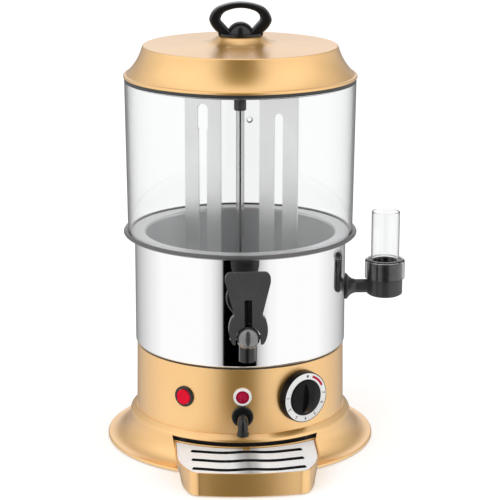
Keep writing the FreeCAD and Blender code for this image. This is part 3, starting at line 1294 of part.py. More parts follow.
# ------------------------------------------------------------------- drip tray
def tray_outline(half, corner_half, inset):
    """Outline of the tray from above, moved in by an inset: arc behind, bowed front."""
    side = "(%s - %s)" % (half, inset)
    back_radius = "(pan_back_radius + %s)" % inset
    back = "-sqrt(%s ^ 2 - %s ^ 2)" % (back_radius, side)
    corner_x = "(%s - %s)" % (corner_half, inset)
    corner_y = "-(pan_corner_reach - %s / 2)" % inset
    front_x = "(pan_front_half - %s / 2)" % inset
    front_y = "-(pan_front_reach - %s)" % inset
    side_bow, corner_bow = "(pan_side_bow - %s)" % inset, "(pan_corner_bow - %s)" % inset
    return [
        corner("-" + side, back, None, "-" + back_radius),
        corner("-" + side, "-pan_side_reach"),
        corner("-" + corner_x, corner_y, None, side_bow),
        corner("-" + front_x, front_y, None, corner_bow),
        corner(front_x, front_y, None, "(pan_front_bow - %s)" % inset),
        corner(corner_x, corner_y, None, corner_bow),
        corner(side, "-pan_side_reach", None, side_bow),
        corner(side, back),
    ]


def loft(body, sections, cuts=False):
    """Loft between outlines at rising levels, to add or to cut."""
    sketches = []
    for level, corners in sections:
        sketch = new_sketch(body, plane="XY", away=level)
        draw_outline(sketch, corners)
        sketches.append(sketch)
    kind = "PartDesign::SubtractiveLoft" if cuts else "PartDesign::AdditiveLoft"
    feature = body.newObject(kind, "Loft")
    feature.Profile = sketches[0]
    feature.Sections = sketches[1:]
    feature.Ruled = True
    return finish_feature(body, feature, cuts)


GRATE_TOP = "(pan_top - grate_drop)"
GRATE_UNDER = "(pan_top - grate_drop - grate_gauge)"


def make_drip_pan():
    """Gold drip pan with sides drawn in towards the floor and a ledge for the plate."""
    body = new_body("drip_pan")
    loft(body, [
        ("pan_floor", tray_outline("pan_floor_half", "pan_floor_corner", "0")),
        ("pan_top", tray_outline("pan_half_width", "pan_corner_half", "0")),
    ])
    extrude(body, draw_outline, tray_outline("pan_half_width", "pan_corner_half", "pan_wall"),
            "pan_top - " + GRATE_UNDER, cuts=True, plane="XY", away="pan_top")
    loft(body, [
        ("pan_floor + pan_wall", tray_outline("pan_floor_half", "pan_floor_corner", "ledge_width")),
        (GRATE_UNDER, tray_outline("pan_half_width", "pan_corner_half", "ledge_width")),
    ], cuts=True)


def make_drip_plate():
    """Polished plate on the pan's ledge with a row of gull-wing slots and a finger notch."""
    body = new_body("drip_plate")
    inset = "(pan_wall + grate_gap)"
    extrude(body, draw_outline, tray_outline("pan_half_width", "pan_corner_half", inset),
            "grate_gauge", plane="XY", away=GRATE_UNDER)
    for number in range(SIZES["grate_slots"]):
        reach = "(first_slot_reach + %d * grate_pitch)" % number
        extrude(body, draw_outline, gull_wing(reach), "3 * grate_gauge", cuts=True,
                middle=True, plane="XY", away=GRATE_UNDER)
    notch = "grate_notch_half"
    deep = "-(pan_back_radius + %s + grate_notch_depth)" % inset
    extrude(body, draw_outline, [
        corner("-" + notch, deep), corner(notch, deep), corner(notch, "-pan_back_radius / 2"),
        corner("-" + notch, "-pan_back_radius / 2"),
    ], "3 * grate_gauge", cuts=True, middle=True, plane="XY", away=GRATE_UNDER)


def gull_wing(reach):
    """Slot like a gull's wings: two raised knees and a dip between them."""
    half = "grate_slot / 2"
    stations = [("slot_wing", "0", None), ("slot_knee", "slot_rise", "slot_bend"),
                ("0", "slot_rise - slot_dip", "slot_bend")]
    front = [("-" + x, rise, bend) for x, rise, bend in stations[:2]]
    front += [stations[2], stations[1], stations[0]]
    lower = [corner(x, "-(%s + %s + %s)" % (reach, rise, half), bend) for x, rise, bend in front]
    upper = [corner(x, "-(%s + %s - %s)" % (reach, rise, half), bend) for x, rise, bend in front]
    for row in (lower, upper):
        row[0] = row[0][:2] + ("slot_end_round", None)
        row[-1] = row[-1][:2] + ("slot_end_round", None)
    return lower + upper[::-1]


def make_tray_rails():
    """Angle rail at each side of the bay, under the foot of the pan."""
    body = new_body("tray_rails")
    edge, gauge = "bay_half_width", "rail_gauge"
    for side in ("1", "-1"):
        points = [
            (edge + " - rail_ledge", "pan_floor - rail_gauge"),
            (edge, "pan_floor - rail_gauge"),
            (edge, PANEL_BOTTOM),
            (edge + " - " + gauge, PANEL_BOTTOM),
            (edge + " - " + gauge, "pan_floor"),
            (edge + " - rail_ledge", "pan_floor"),
        ]
        corners = [corner("%s * (%s)" % (side, x), y) for x, y in points]
        extrude(body, draw_outline, corners, "rail_length", plane="XZ",
                away="sqrt(bay_back_radius ^ 2 - (%s - %s) ^ 2) + fit_gap" % (edge, gauge))


# -------------------------------------------------------------------- assembly
MAKERS = [
    make_rubber_feet, make_base_plate, make_base_screws, make_control_panel,
    make_base_skirt, make_cord_gland, make_joint_gasket, make_boiler_jacket, make_bowl,
    make_rim_gasket, make_heater_ring, make_column_tube, make_column_bush,
    make_column_clamps, make_agitator_shaft, make_agitator_hub, make_agitator_frame,
    make_agitator_pin, make_drive, make_tank_cylinder, make_lid_seal, make_lid_shell,
    make_handle, make_handle_cap, make_tap_fixings, make_tap_body, make_tap_dome, make_tap_plunger,
    make_tap_pivot_pin, make_tap_lever, make_inlet, make_switch, make_lamp,
    make_thermostat, make_drain, make_drip_pan, make_drip_plate, make_tray_rails,
]


def check_document():
    """Stop if any object of the document failed or any sub-part is not a sound solid."""
    for item in DOC.Objects:
        if "Invalid" in item.State or "Error" in item.State:
            raise RuntimeError("%s (%s): %s" % (item.Label, item.Name, item.State))
    for body in NODES:
        if body.Shape.isNull() or not body.Shape.isValid() or not body.Shape.Solids:
            raise RuntimeError("%s has no sound solid" % body.Label)


def main():
    """Build every sub-part and write each to its own file."""
    fill_sheet()
    for make in MAKERS:
        make()
    DOC.recompute()
    check_document()
    os.makedirs("parts", exist_ok=True)
    for body in NODES:
        body.Shape.exportStep(os.path.join("parts", body.Label + ".step"))
        print("%-20s solids %d  volume %.0f" % (body.Label, len(body.Shape.Solids),
                                                body.Shape.Volume))


main()
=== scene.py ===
"""Looks of a hot chocolate dispenser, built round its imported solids.

The machine's sizes are in millimetres, in its own frame: +Z up, the front towards -Y.
A piece's mesh is scaled to metres when it is finished. The studio is laid out in metres.
A pair of sizes that stands for a corner is its radius and its height or reach.
"""
import logging
import math
from abc import ABC, abstractmethod
from dataclasses import dataclass
from enum import Enum
from functools import cache
from typing import Any

import bmesh
import bpy
from mathutils import Matrix, Vector


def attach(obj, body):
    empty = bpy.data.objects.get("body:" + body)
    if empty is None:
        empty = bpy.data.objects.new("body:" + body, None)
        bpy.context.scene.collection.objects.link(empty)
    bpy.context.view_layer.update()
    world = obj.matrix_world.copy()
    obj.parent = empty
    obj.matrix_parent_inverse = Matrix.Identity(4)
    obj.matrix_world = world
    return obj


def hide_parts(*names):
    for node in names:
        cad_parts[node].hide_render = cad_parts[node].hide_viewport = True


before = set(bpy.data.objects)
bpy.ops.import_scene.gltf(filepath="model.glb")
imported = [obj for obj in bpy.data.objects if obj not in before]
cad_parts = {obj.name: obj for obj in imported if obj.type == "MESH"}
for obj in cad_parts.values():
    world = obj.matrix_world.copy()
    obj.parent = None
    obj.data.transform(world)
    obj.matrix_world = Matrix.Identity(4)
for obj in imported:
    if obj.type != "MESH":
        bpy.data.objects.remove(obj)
LOG = logging.getLogger("dispenser")
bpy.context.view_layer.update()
UPRIGHT = Matrix.Identity(4)
MM = 0.001          # metres in a millimetre
WELD = 1e-4         # millimetres within which the vertices of a new shape are one
CAD_WELD = 2e-6     # metres within which the vertices of a solid are one
FLAT = 0.4          # degrees below which a solid's neighbouring faces are one
CREASE = 34.0       # degrees above which an edge stays sharp

Socket = bpy.types.NodeSocket
Shape = bmesh.types.BMesh
Pair = tuple[float, float]
Triple = tuple[float, float, float]
Sizes = tuple[float, ...]


# ------------------------------------------------------------------ shader nodes
class Bench:
    """Shader nodes of one material or of the world, added and joined in a few words."""

    def __init__(self, owner: bpy.types.ID) -> None:
        """Start with an empty tree.

        Args:
            owner: the material or world whose nodes are laid out.
        """
        owner.use_nodes = True
        self.tree = owner.node_tree
        self.tree.nodes.clear()

    def add(self, kind: str, settings: dict | None = None, **sockets: Any) -> bpy.types.Node:
        """Add a node and give its sockets values or links.

        Args:
            kind: the node's type name without the ShaderNode prefix.
            settings: the node's own properties.
            **sockets: input names, with _ for spaces or i0, i1 for numbers, and what they get.

        Returns:
            The new node.
        """
        node = self.tree.nodes.new("ShaderNode" + kind)
        for name, value in (settings or {}).items():
            setattr(node, name, value)
        for name, value in sockets.items():
            numbered = name[0] == "i" and name[1:].isdigit()
            socket = node.inputs[int(name[1:]) if numbered else name.replace("_", " ")]
            if isinstance(value, bpy.types.NodeSocket):
                self.tree.links.new(value, socket)
            else:
                socket.default_value = value
        return node

    def maths(self, operation: str, *values: Any) -> Socket:
        """Result of a Math node on one, two or three numbers or sockets."""
        sockets = {"i%d" % index: value for index, value in enumerate(values)}
        return self.add("Math", {"operation": operation}, **sockets).outputs[0]

    def ramp(self, source: Socket, *stops: tuple, smooth: bool = False) -> Socket:
        """Colour ramp.

        Args:
            source: what the ramp reads.
            *stops: pairs of a position and a grey level or a colour of three numbers.
            smooth: whether the stops are joined by eased curves.

        Returns:
            The ramp's colour socket.
        """
        node = self.add("ValToRGB", Fac=source)
        node.color_ramp.interpolation = "EASE" if smooth else "LINEAR"
        elements = node.color_ramp.elements
        while len(elements) < len(stops):
            elements.new(0.5)
        for element, (position, tone) in zip(elements, stops):
            colour = (tone,) * 3 if isinstance(tone, float) else tuple(tone)
            element.position = position
            element.color = colour + (1,)
        return node.outputs["Color"]

    def mix(self, factor: Socket, under: Socket, over: tuple) -> Socket:
        """Colour socket mixed with a plain colour by a factor."""
        settings = {"data_type": "RGBA"}
        return self.add("Mix", settings, Factor=factor, i6=under, i7=over).outputs[2]

    def spread(self, source: Socket, low: float, high: float) -> Socket:
        """Map a value of 0 to 1 onto a range."""
        return self.add("MapRange", Value=source, To_Min=low, To_Max=high).outputs["Result"]

    def climb(self, source: Socket, low: float, high: float) -> Socket:
        """Eased step from 0 to 1 between two values of a socket."""
        return self.add("MapRange", {"interpolation_type": "SMOOTHSTEP"}, Value=source,
                        From_Min=low, From_Max=high).outputs["Result"]

    def place(self, scale: Triple = (1, 1, 1)) -> Socket:
        """Object coordinates, scaled along each axis."""
        where = self.add("TexCoord").outputs["Object"]
        return self.add("Mapping", Vector=where, Scale=scale).outputs["Vector"]

    def across(self, gain: float) -> Socket:
        """Distance from the machine's middle plane to either side, times a gain."""
        side = self.add("SeparateXYZ", Vector=self.place()).outputs["X"]
        return self.maths("MULTIPLY", self.maths("ABSOLUTE", side), gain)

    def noise(self, where: Socket, scale: float, detail: float = 2.0,
              roughness: float = 0.5) -> Socket:
        """Value of a noise texture."""
        return self.add("TexNoise", Vector=where, Scale=scale, Detail=detail,
                        Roughness=roughness).outputs["Fac"]

    def spun(self, fineness: float, stray: float = 0.002) -> Socket:
        """Fine rings about the machine's axis, as a spinning tool leaves them.

        Args:
            fineness: how many rings there are in a metre.
            stray: how far a ring strays in a radian of turn, in metres.

        Returns:
            A value that changes with radius and height and hardly at all round the axis.
        """
        split = self.add("SeparateXYZ", Vector=self.place()).outputs
        flat = self.add("CombineXYZ", X=split["X"], Y=split["Y"])
        radius = self.add("VectorMath", {"operation": "LENGTH"}, i0=flat.outputs[0])
        rings = self.maths("ADD", radius.outputs["Value"], split["Z"])
        turn = self.maths("ARCTAN2", split["Y"], split["X"])
        where = self.add("CombineXYZ", X=rings, Y=self.maths("MULTIPLY", turn, stray))
        return self.noise(where.outputs[0], fineness, detail=3.0, roughness=0.6)

    def bump(self, height: Socket, strength: float, distance: float) -> Socket:
        """Normal of a bump of a given depth in metres."""
        return self.add("Bump", Height=height, Strength=strength,
                        Distance=distance).outputs["Normal"]

    def finish(self, **sockets: Any) -> None:
        """Principled shader joined to the material's output.

        Args:
            **sockets: the shader's inputs, as for add.
        """
        shader = self.add("BsdfPrincipled", **sockets)
        self.add("OutputMaterial", Surface=shader.outputs["BSDF"])


# ----------------------------------------------------------------------- finishes
class Finish(ABC):
    """A finish of the machine, with its material's name and the name of its slot."""

    name: str
    slot: str

    @cache
    def material(self) -> bpy.types.Material:
        """Material of the finish, made at its first use.

        Returns:
            The material, which all the finish's pieces share.
        """
        made = bpy.data.materials.new(self.name)
        self.lay(Bench(made))
        return made

    @abstractmethod
    def lay(self, bench: Bench) -> None:
        """Lay out the finish's shader nodes.

        Args:
            bench: the material's nodes.
        """


@dataclass(frozen=True)
class SpunGold(Finish):
    """Satin gold lacquer on spun aluminium, with faint rings and a clear top coat."""

    name: str = "spun gold"
    slot: str = "gold"
    tone: Triple = (1.0, 0.57, 0.14)
    deep: Triple = (0.95, 0.51, 0.11)
    rough: float = 0.32
    veil: float = 0.26

    def lay(self, bench: Bench) -> None:
        """Lay out the finish's shader nodes.

        Args:
            bench: the material's nodes.
        """
        rings = bench.spun(fineness=2600.0)
        cloud = bench.noise(bench.place(), scale=14.0, detail=3.0)
        grain = bench.noise(bench.place(), scale=5200.0, detail=1.0)
        colour = bench.ramp(cloud, (0.3, self.deep), (0.7, self.tone))
        height = bench.maths("ADD", bench.maths("MULTIPLY", rings, 0.6), grain)
        bench.finish(Base_Color=colour, Metallic=0.82,
                     Roughness=bench.spread(rings, self.rough, self.rough + 0.06),
                     Normal=bench.bump(height, strength=0.12, distance=0.00003),
                     Coat_Weight=1.0, Coat_Roughness=self.veil, Coat_IOR=2.4)


@dataclass(frozen=True)
class MirrorSteel(Finish):
    """Mirror-polished stainless steel with faint buffing rings and wiping marks."""

    name: str = "mirror steel"
    slot: str = "mirror_steel"
    tone: float = 0.98
    rough: float = 0.035

    def lay(self, bench: Bench) -> None:
        """Lay out the finish's shader nodes.

        Args:
            bench: the material's nodes.
        """
        rings = bench.spun(fineness=1500.0)
        wipes = bench.noise(bench.place((1, 1, 0.35)), scale=26.0, detail=4.0, roughness=0.62)
        bench.finish(Base_Color=(self.tone,) * 3 + (1,), Metallic=1.0,
                     Roughness=bench.spread(wipes, self.rough, self.rough + 0.035),
                     Normal=bench.bump(rings, strength=0.02, distance=0.00002))


@dataclass(frozen=True)
class BowlSteel(Finish):
    """Satin stainless steel of the bowl, drawn in rings, its middle darkened by a painted
    reflection.
    """

    name: str = "bowl steel"
    slot: str = "steel"
    reflection_dark: Triple = (0.56, 0.58, 0.60)
    reflection_mid: Triple = (0.66, 0.68, 0.70)
    bright: Triple = (0.93, 0.96, 0.98)

    def lay(self, bench: Bench) -> None:
        """Lay out the finish's shader nodes.

        Args:
            bench: the material's nodes.
        """
        rings = bench.spun(fineness=1800.0)
        # Painted reflection: the steel is darker near the middle plane and brighter towards the
        # sides, with a little random mottle.
        away = bench.across(gain=9.0)
        cloud = bench.noise(bench.place(), scale=18.0, detail=3.0)
        reflection_and_mottle = bench.maths("ADD", away, bench.maths("MULTIPLY", cloud, 0.12))
        tone = bench.ramp(reflection_and_mottle, (0.1, self.reflection_dark), (0.42, self.reflection_mid), (0.82, self.bright),
                          smooth=True)
        bench.finish(Base_Color=tone, Metallic=0.36, Roughness=bench.spread(rings, 0.26, 0.34),
                     Normal=bench.bump(rings, strength=0.05, distance=0.00003))


@dataclass(frozen=True)
class SheetSteel(Finish):
    """Plain rolled steel sheet, brushed along the level direction."""

    name: str = "sheet steel"
    slot: str = "steel"
    tone: float = 0.78
    rough: float = 0.30

    def lay(self, bench: Bench) -> None:
        """Lay out the finish's shader nodes.

        Args:
            bench: the material's nodes.
        """
        lines = bench.noise(bench.place((1, 1, 40)), scale=90.0, detail=4.0, roughness=0.7)
        cloud = bench.noise(bench.place(), scale=22.0)
        shade = bench.ramp(cloud, (0.3, self.tone * 0.93), (0.7, self.tone))
        bench.finish(Base_Color=shade, Metallic=1.0,
                     Roughness=bench.spread(lines, self.rough - 0.05, self.rough + 0.08),
                     Normal=bench.bump(lines, strength=0.10, distance=0.00003))


@dataclass(frozen=True)
class TrayPlate(Finish):
    """Polished plate of the tray, its middle darkened by a painted reflection."""

    name: str = "tray plate"
    slot: str = "mirror_steel"
    reflection_dark: Triple = (0.40, 0.41, 0.42)
    reflection_mid: Triple = (0.52, 0.53, 0.54)
    bright: Triple = (0.96, 0.98, 1.0)
    edge: Triple = (0.97, 0.985, 1.0)

    def lay(self, bench: Bench) -> None:
        """Lay out the finish's shader nodes.

        Args:
            bench: the material's nodes.
        """
        lines = bench.noise(bench.place((1, 30, 1)), scale=160.0, detail=3.0, roughness=0.6)
        # Painted reflection: the plate is darker near the middle plane and bright towards its
        # sides.
        tone = bench.ramp(bench.across(gain=25.0), (0.0, self.reflection_dark), (0.12, self.reflection_mid),
                          (0.45, self.bright), (1.0, self.edge), smooth=True)
        bench.finish(Base_Color=tone, Metallic=0.05, Roughness=bench.spread(lines, 0.30, 0.40),
                     Normal=bench.bump(lines, strength=0.06, distance=0.00002))


@dataclass(frozen=True)
class ClearPlastic(Finish):
    """Clear moulded plastic, faintly uneven, with a little dust."""

    name: str = "clear plastic"
    slot: str = "clear"
    tint: Triple = (0.985, 0.99, 0.99)

    def lay(self, bench: Bench) -> None:
        """Lay out the finish's shader nodes.

        Args:
            bench: the material's nodes.
        """
        flow = bench.noise(bench.place((1, 1, 0.15)), scale=9.0)
        dust = bench.noise(bench.place(), scale=240.0, detail=4.0, roughness=0.7)
        bench.finish(Base_Color=self.tint + (1,), Roughness=bench.spread(dust, 0.0, 0.02),
                     Transmission_Weight=1.0, IOR=1.36,
                     Normal=bench.bump(flow, strength=0.05, distance=0.0004))


@dataclass(frozen=True)
class SealRubber(Finish):
    """Moulded rubber or silicone with a fine skin."""

    name: str = "seal rubber"
    slot: str = "rubber"
    tone: Triple = (0.095, 0.093, 0.092)
    rough: float = 0.30

    def lay(self, bench: Bench) -> None:
        """Lay out the finish's shader nodes.

        Args:
            bench: the material's nodes.
        """
        skin = bench.noise(bench.place(), scale=1400.0)
        bloom = bench.noise(bench.place(), scale=30.0, detail=3.0)
        dark = tuple(0.8 * channel for channel in self.tone)
        bench.finish(Base_Color=bench.ramp(bloom, (0.35, dark), (0.7, self.tone)),
                     Roughness=bench.spread(bloom, self.rough, self.rough + 0.1),
                     Coat_Weight=0.5, Coat_Roughness=0.25,
                     Normal=bench.bump(skin, strength=0.15, distance=0.00004))


@dataclass(frozen=True)
class Moulding(Finish):
    """Moulded plastic of one colour, from satin to glossy, with a faint skin."""

    name: str = "black moulding"
    slot: str = "black_plastic"
    tone: Triple = (0.012, 0.012, 0.013)
    rough: float = 0.16
    polish: float = 0.0
    shine: float = 0.5

    def lay(self, bench: Bench) -> None:
        """Lay out the finish's shader nodes.

        Args:
            bench: the material's nodes.
        """
        skin = bench.noise(bench.place(), scale=900.0)
        flow = bench.noise(bench.place(), scale=35.0, detail=3.0)
        dark = tuple(0.86 * channel for channel in self.tone)
        bench.finish(Base_Color=bench.ramp(flow, (0.3, dark), (0.7, self.tone)),
                     Roughness=bench.spread(flow, self.rough, self.rough + 0.07),
                     Specular_IOR_Level=self.shine,
                     Coat_Weight=self.polish, Coat_Roughness=0.08, Coat_IOR=2.3,
                     Normal=bench.bump(skin, strength=0.06, distance=0.00003))


@dataclass(frozen=True)
class SignalRed(Finish):
    """Translucent red plastic with a lamp behind it."""

    name: str = "signal red"
    slot: str = "red_plastic"
    tone: Triple = (0.76, 0.001, 0.026)
    glow: float = 0.08

    def lay(self, bench: Bench) -> None:
        """Lay out the finish's shader nodes.

        Args:
            bench: the material's nodes.
        """
        depth = bench.noise(bench.place(), scale=260.0)
        dark = tuple(0.75 * channel for channel in self.tone)
        bench.finish(Base_Color=bench.ramp(depth, (0.25, dark), (0.75, self.tone)),
                     Roughness=0.30, Specular_IOR_Level=0.12,
                     Emission_Color=self.tone + (1,), Emission_Strength=self.glow)


@dataclass(frozen=True)
class TurnedBrass(Finish):
    """Turned brass of the plain bearing."""

    name: str = "turned brass"
    slot: str = "brass"
    tone: Triple = (0.72, 0.50, 0.22)

    def lay(self, bench: Bench) -> None:
        """Lay out the finish's shader nodes.

        Args:
            bench: the material's nodes.
        """
        rings = bench.spun(fineness=2200.0)
        bench.finish(Base_Color=self.tone + (1,), Metallic=1.0,
                     Roughness=bench.spread(rings, 0.25, 0.4))


GOLD = SpunGold()
MIRROR = MirrorSteel()
ROD = MirrorSteel("rod steel", tone=0.60, rough=0.10)
BOWL = BowlSteel()
STEEL = SheetSteel()
PADDLE = SheetSteel("paddle steel", tone=0.86, rough=0.34)
TRAY_PLATE = TrayPlate()
CLEAR = ClearPlastic()
RUBBER = SealRubber()
DARK_RUBBER = SealRubber("dark rubber", tone=(0.02, 0.02, 0.02), rough=0.5)
BLACK = Moulding()
SATIN = Moulding("satin black", "satin_black", (0.050, 0.050, 0.051), rough=0.34)
FILLER = Moulding("filler black", "satin_black", (0.036, 0.036, 0.037), rough=0.26)
DOME = Moulding("polished dome", "black_plastic", (0.055, 0.055, 0.057), rough=0.3, polish=1.0)
GRIP = Moulding("knob black", "black_plastic", (0.007, 0.007, 0.008), rough=0.25, shine=0.14)
PRINT = Moulding("dial print", "black_plastic", (0.03, 0.03, 0.035), rough=0.4)
RED_PRINT = Moulding("red print", "red_plastic", (0.50, 0.003, 0.042), rough=0.4, shine=0.2)
WHITE = Moulding("white moulding", "white_plastic", (0.86, 0.86, 0.85), rough=0.22)
GREY = Moulding("grey casting", "grey_paint", (0.20, 0.205, 0.21), rough=0.4)
# Finish of the vent hole: partly the drilled wall itself, with its dark grey painted shade.
DRILL_WALL_AND_SHADE = Moulding("drill wall and painted shade", "clear", (0.13, 0.13, 0.13), rough=0.5)
RED = SignalRed()
LENS = SignalRed("lamp lens", tone=(0.40, 0.004, 0.040), glow=0.02)
BRASS = TurnedBrass()


# ------------------------------------------------------------------------- shapes
class Outline:
    """Outline of a turned piece, drawn a corner at a time: radius out, height up."""

    def __init__(self, radius: float, height: float) -> None:
        """Start at a first corner.

        Args:
            radius: the corner's distance from the axis.
            height: its height along the axis.
        """
        self.mesh = bmesh.new()
        self.first = self.last = self.mesh.verts.new((radius, 0, height))
        self.rounded: list[tuple[bmesh.types.BMVert, float]] = []

    def to(self, radius: float, height: float, rounding: float = 0.0) -> "Outline":
        """Straight line to a corner.

        Args:
            radius: the corner's distance from the axis.
            height: its height along the axis.
            rounding: how far from the corner its rounding starts; 0 leaves it sharp.

        Returns:
            The outline, for the next stretch.
        """
        corner = self.mesh.verts.new((radius, 0, height))
        self.mesh.edges.new((self.last, corner))
        self.last = corner
        if rounding:
            self.rounded.append((corner, rounding))
        return self

    def bow(self, radius: float, height: float, bend: float, steps: int = 14) -> "Outline":
        """Arc to a corner.

        Args:
            radius: the corner's distance from the axis.
            height: its height along the axis.
            bend: the arc's own radius, positive where it turns left and else negative.
            steps: how many straight parts the arc has.

        Returns:
            The outline, for the next stretch.
        """
        start = self.last.co.copy()
        end = Vector((radius, 0, height))
        chord = end - start
        rise = math.sqrt(max(bend * bend - chord.length_squared / 4, 0))
        side = math.copysign(1.0, bend)
        left = Vector((-chord.z, 0, chord.x)).normalized()
        centre = (start + end) / 2 + left * rise * side
        angle = 2 * math.asin(min(chord.length / 2 / abs(bend), 1))
        swept = bmesh.ops.spin(self.mesh, geom=[self.last], cent=centre, axis=(0, -side, 0),
                               angle=angle, steps=steps)["geom_last"]
        self.last = next(item for item in swept if isinstance(item, bmesh.types.BMVert))
        self.last.co = end
        return self

    def turn(self, steps: int = 96) -> Shape:
        """Round the corners, close the outline and turn it about the vertical axis.

        Args:
            steps: how many straight parts a full turn has.

        Returns:
            The closed shape, its faces pointing outwards.
        """
        mesh = self.mesh
        if self.first.co.x > 0 or self.last.co.x > 0:
            mesh.edges.new((self.last, self.first))
        for amount in sorted({amount for _, amount in self.rounded}):
            corners = [corner for corner, wanted in self.rounded if wanted == amount]
            bmesh.ops.bevel(mesh, geom=corners, offset=amount, offset_type="OFFSET", segments=4,
                            profile=0.5, affect="VERTICES", material=-1)
        bmesh.ops.spin(mesh, geom=mesh.verts[:] + mesh.edges[:], axis=(0, 0, 1),
                       angle=math.tau, steps=steps, use_merge=True)
        bmesh.ops.remove_doubles(mesh, verts=mesh.verts, dist=WELD)
        bmesh.ops.recalc_face_normals(mesh, faces=mesh.faces)
        return mesh


def tube(inner: float, outer: float, bottom: float, top: float, rounding: float = 0.3,
         steps: int = 96) -> Shape:
    """Plain ring or tube with rounded outer edges."""
    outline = Outline(inner, bottom).to(outer, bottom, rounding)
    return outline.to(outer, top, rounding).to(inner, top).turn(steps)


def cone(foot: float, head: float, height: float, steps: int = 32) -> Shape:
    """Blunt cone or disc round the vertical axis, its middle at the origin.

    Args:
        foot: the radius at its lower end.
        head: the radius at its upper end.
        height: the distance between the two.
        steps: how many straight parts its circles have.

    Returns:
        The closed shape.
    """
    mesh = bmesh.new()
    bmesh.ops.create_cone(mesh, cap_ends=True, segments=steps, radius1=foot, radius2=head,
                          depth=height)
    return mesh


def facing(turn: float, level: float, tilt: float = 0.0) -> Matrix:
    """Placement on the panel: own X to the right, Y up and Z away from the machine's axis."""
    return (Matrix.Translation((0, 0, level)) @ Matrix.Rotation(math.radians(turn), 4, "Z")
            @ Matrix.Rotation(math.pi / 2, 4, "X") @ Matrix.Rotation(math.radians(tilt), 4, "Z"))


def merged_copy(node: str) -> Shape:
    """Copy of a solid's mesh in millimetres, its loose triangles merged.

    Args:
        node: the CAD node.

    Returns:
        The merged mesh.
    """
    mesh = bmesh.new()
    mesh.from_mesh(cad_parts[node].data)
    bmesh.ops.remove_doubles(mesh, verts=mesh.verts, dist=CAD_WELD)
    bmesh.ops.scale(mesh, vec=(1 / MM,) * 3, verts=mesh.verts)
    bmesh.ops.dissolve_limit(mesh, angle_limit=math.radians(FLAT), verts=mesh.verts,
                             edges=mesh.edges)
    return mesh


def link_object(name: str, data: bpy.types.ID) -> bpy.types.Object:
    """Object of the scene that holds the data.

    Args:
        name: the object's name.
        data: its mesh, text, lamp or camera.

    Returns:
        The new object.
    """
    made = bpy.data.objects.new(name, data)
    bpy.context.scene.collection.objects.link(made)
    return made


def shape_object(name: str, shape: Shape) -> bpy.types.Object:
    """Object of the scene that holds a shape.

    Args:
        name: the name of the object and of its mesh.
        shape: the shape, which is used up.

    Returns:
        The new object.
    """
    data = bpy.data.meshes.new(name)
    shape.to_mesh(data)
    shape.free()
    return link_object(name, data)


@dataclass
class Piece:
    """One piece to finish: its name and finish, the CAD body it rides on, the nodes it
    stands for, the width of the bevel on its edges and the angle from which they stay sharp.
    """

    name: str
    finish: Finish
    body: str = "base"
    nodes: tuple[str, ...] = ()
    edge: float = 0.0
    crease: float = CREASE

    def make(self, mesh: Shape, place: Matrix = UPRIGHT) -> bpy.types.Object:
        """Turn a shape in millimetres into the finished object.

        Args:
            mesh: the shape, which is used up.
            place: where it goes in the machine's frame, in millimetres.

        Returns:
            The object, at the origin with its place in its mesh.
        """
        bmesh.ops.transform(mesh, matrix=Matrix.Scale(MM, 4) @ place, verts=mesh.verts)
        return self.dress(shape_object(self.name, mesh))

    def dress(self, piece: bpy.types.Object) -> bpy.types.Object:
        """Shade, soften, paint and place an object that holds the piece's mesh.

        Args:
            piece: the object.

        Returns:
            The same object, finished.
        """
        data = piece.data
        data.polygons.foreach_set("use_smooth", [True] * len(data.polygons))
        data.set_sharp_from_angle(angle=math.radians(self.crease))
        if self.edge:
            bevel = piece.modifiers.new("edges", "BEVEL")
            bevel.width = self.edge * MM
            bevel.segments = 2
            bevel.angle_limit = math.radians(self.crease)
            bevel.use_clamp_overlap = True
        normals = piece.modifiers.new("shading", "WEIGHTED_NORMAL")
        normals.keep_sharp = True
        data.materials.append(self.finish.material())
        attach(piece, self.body)
        if self.nodes:
            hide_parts(*self.nodes)
        LOG.info("%s on %s", self.name, self.body)
        return piece


def paint_nodes(finish: Finish, *nodes: str) -> None:
    """Give CAD nodes that stay in sight or inside the machine their finish.

    Args:
        finish: what they are painted with.
        *nodes: their names.
    """
    for name in nodes:
        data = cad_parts[name].data
        data.materials.clear()
        data.materials.append(finish.material())


def refine(finish: Finish, node: str, body: str = "base", edge: float = 0.3,
           crease: float = CREASE) -> bpy.types.Object:
    """Piece with a solid's own shape, merged, smoothly shaded and with eased edges."""
    return Piece(node + "_fine", finish, body, (node,), edge, crease).make(merged_copy(node))


def carve(piece: bpy.types.Object, cutter: Shape, place: Matrix = UPRIGHT) -> None:
    """Cut a shape in millimetres out of a finished piece.

    Args:
        piece: the piece, whose mesh is changed.
        cutter: the shape to take away, which is used up.
        place: where the cutter goes.
    """
    bmesh.ops.transform(cutter, matrix=Matrix.Scale(MM, 4) @ place, verts=cutter.verts)
    bmesh.ops.recalc_face_normals(cutter, faces=cutter.faces)
    tool = shape_object("cutter", cutter)
    cut = piece.modifiers.new("cut", "BOOLEAN")
    cut.object = tool
    cut.solver = "EXACT"
    piece.modifiers.move(len(piece.modifiers) - 1, 0)
    with bpy.context.temp_override(object=piece, active_object=piece):
        bpy.ops.object.modifier_apply(modifier=cut.name)
    bpy.data.objects.remove(tool)
    piece.data.set_sharp_from_angle(angle=math.radians(CREASE))


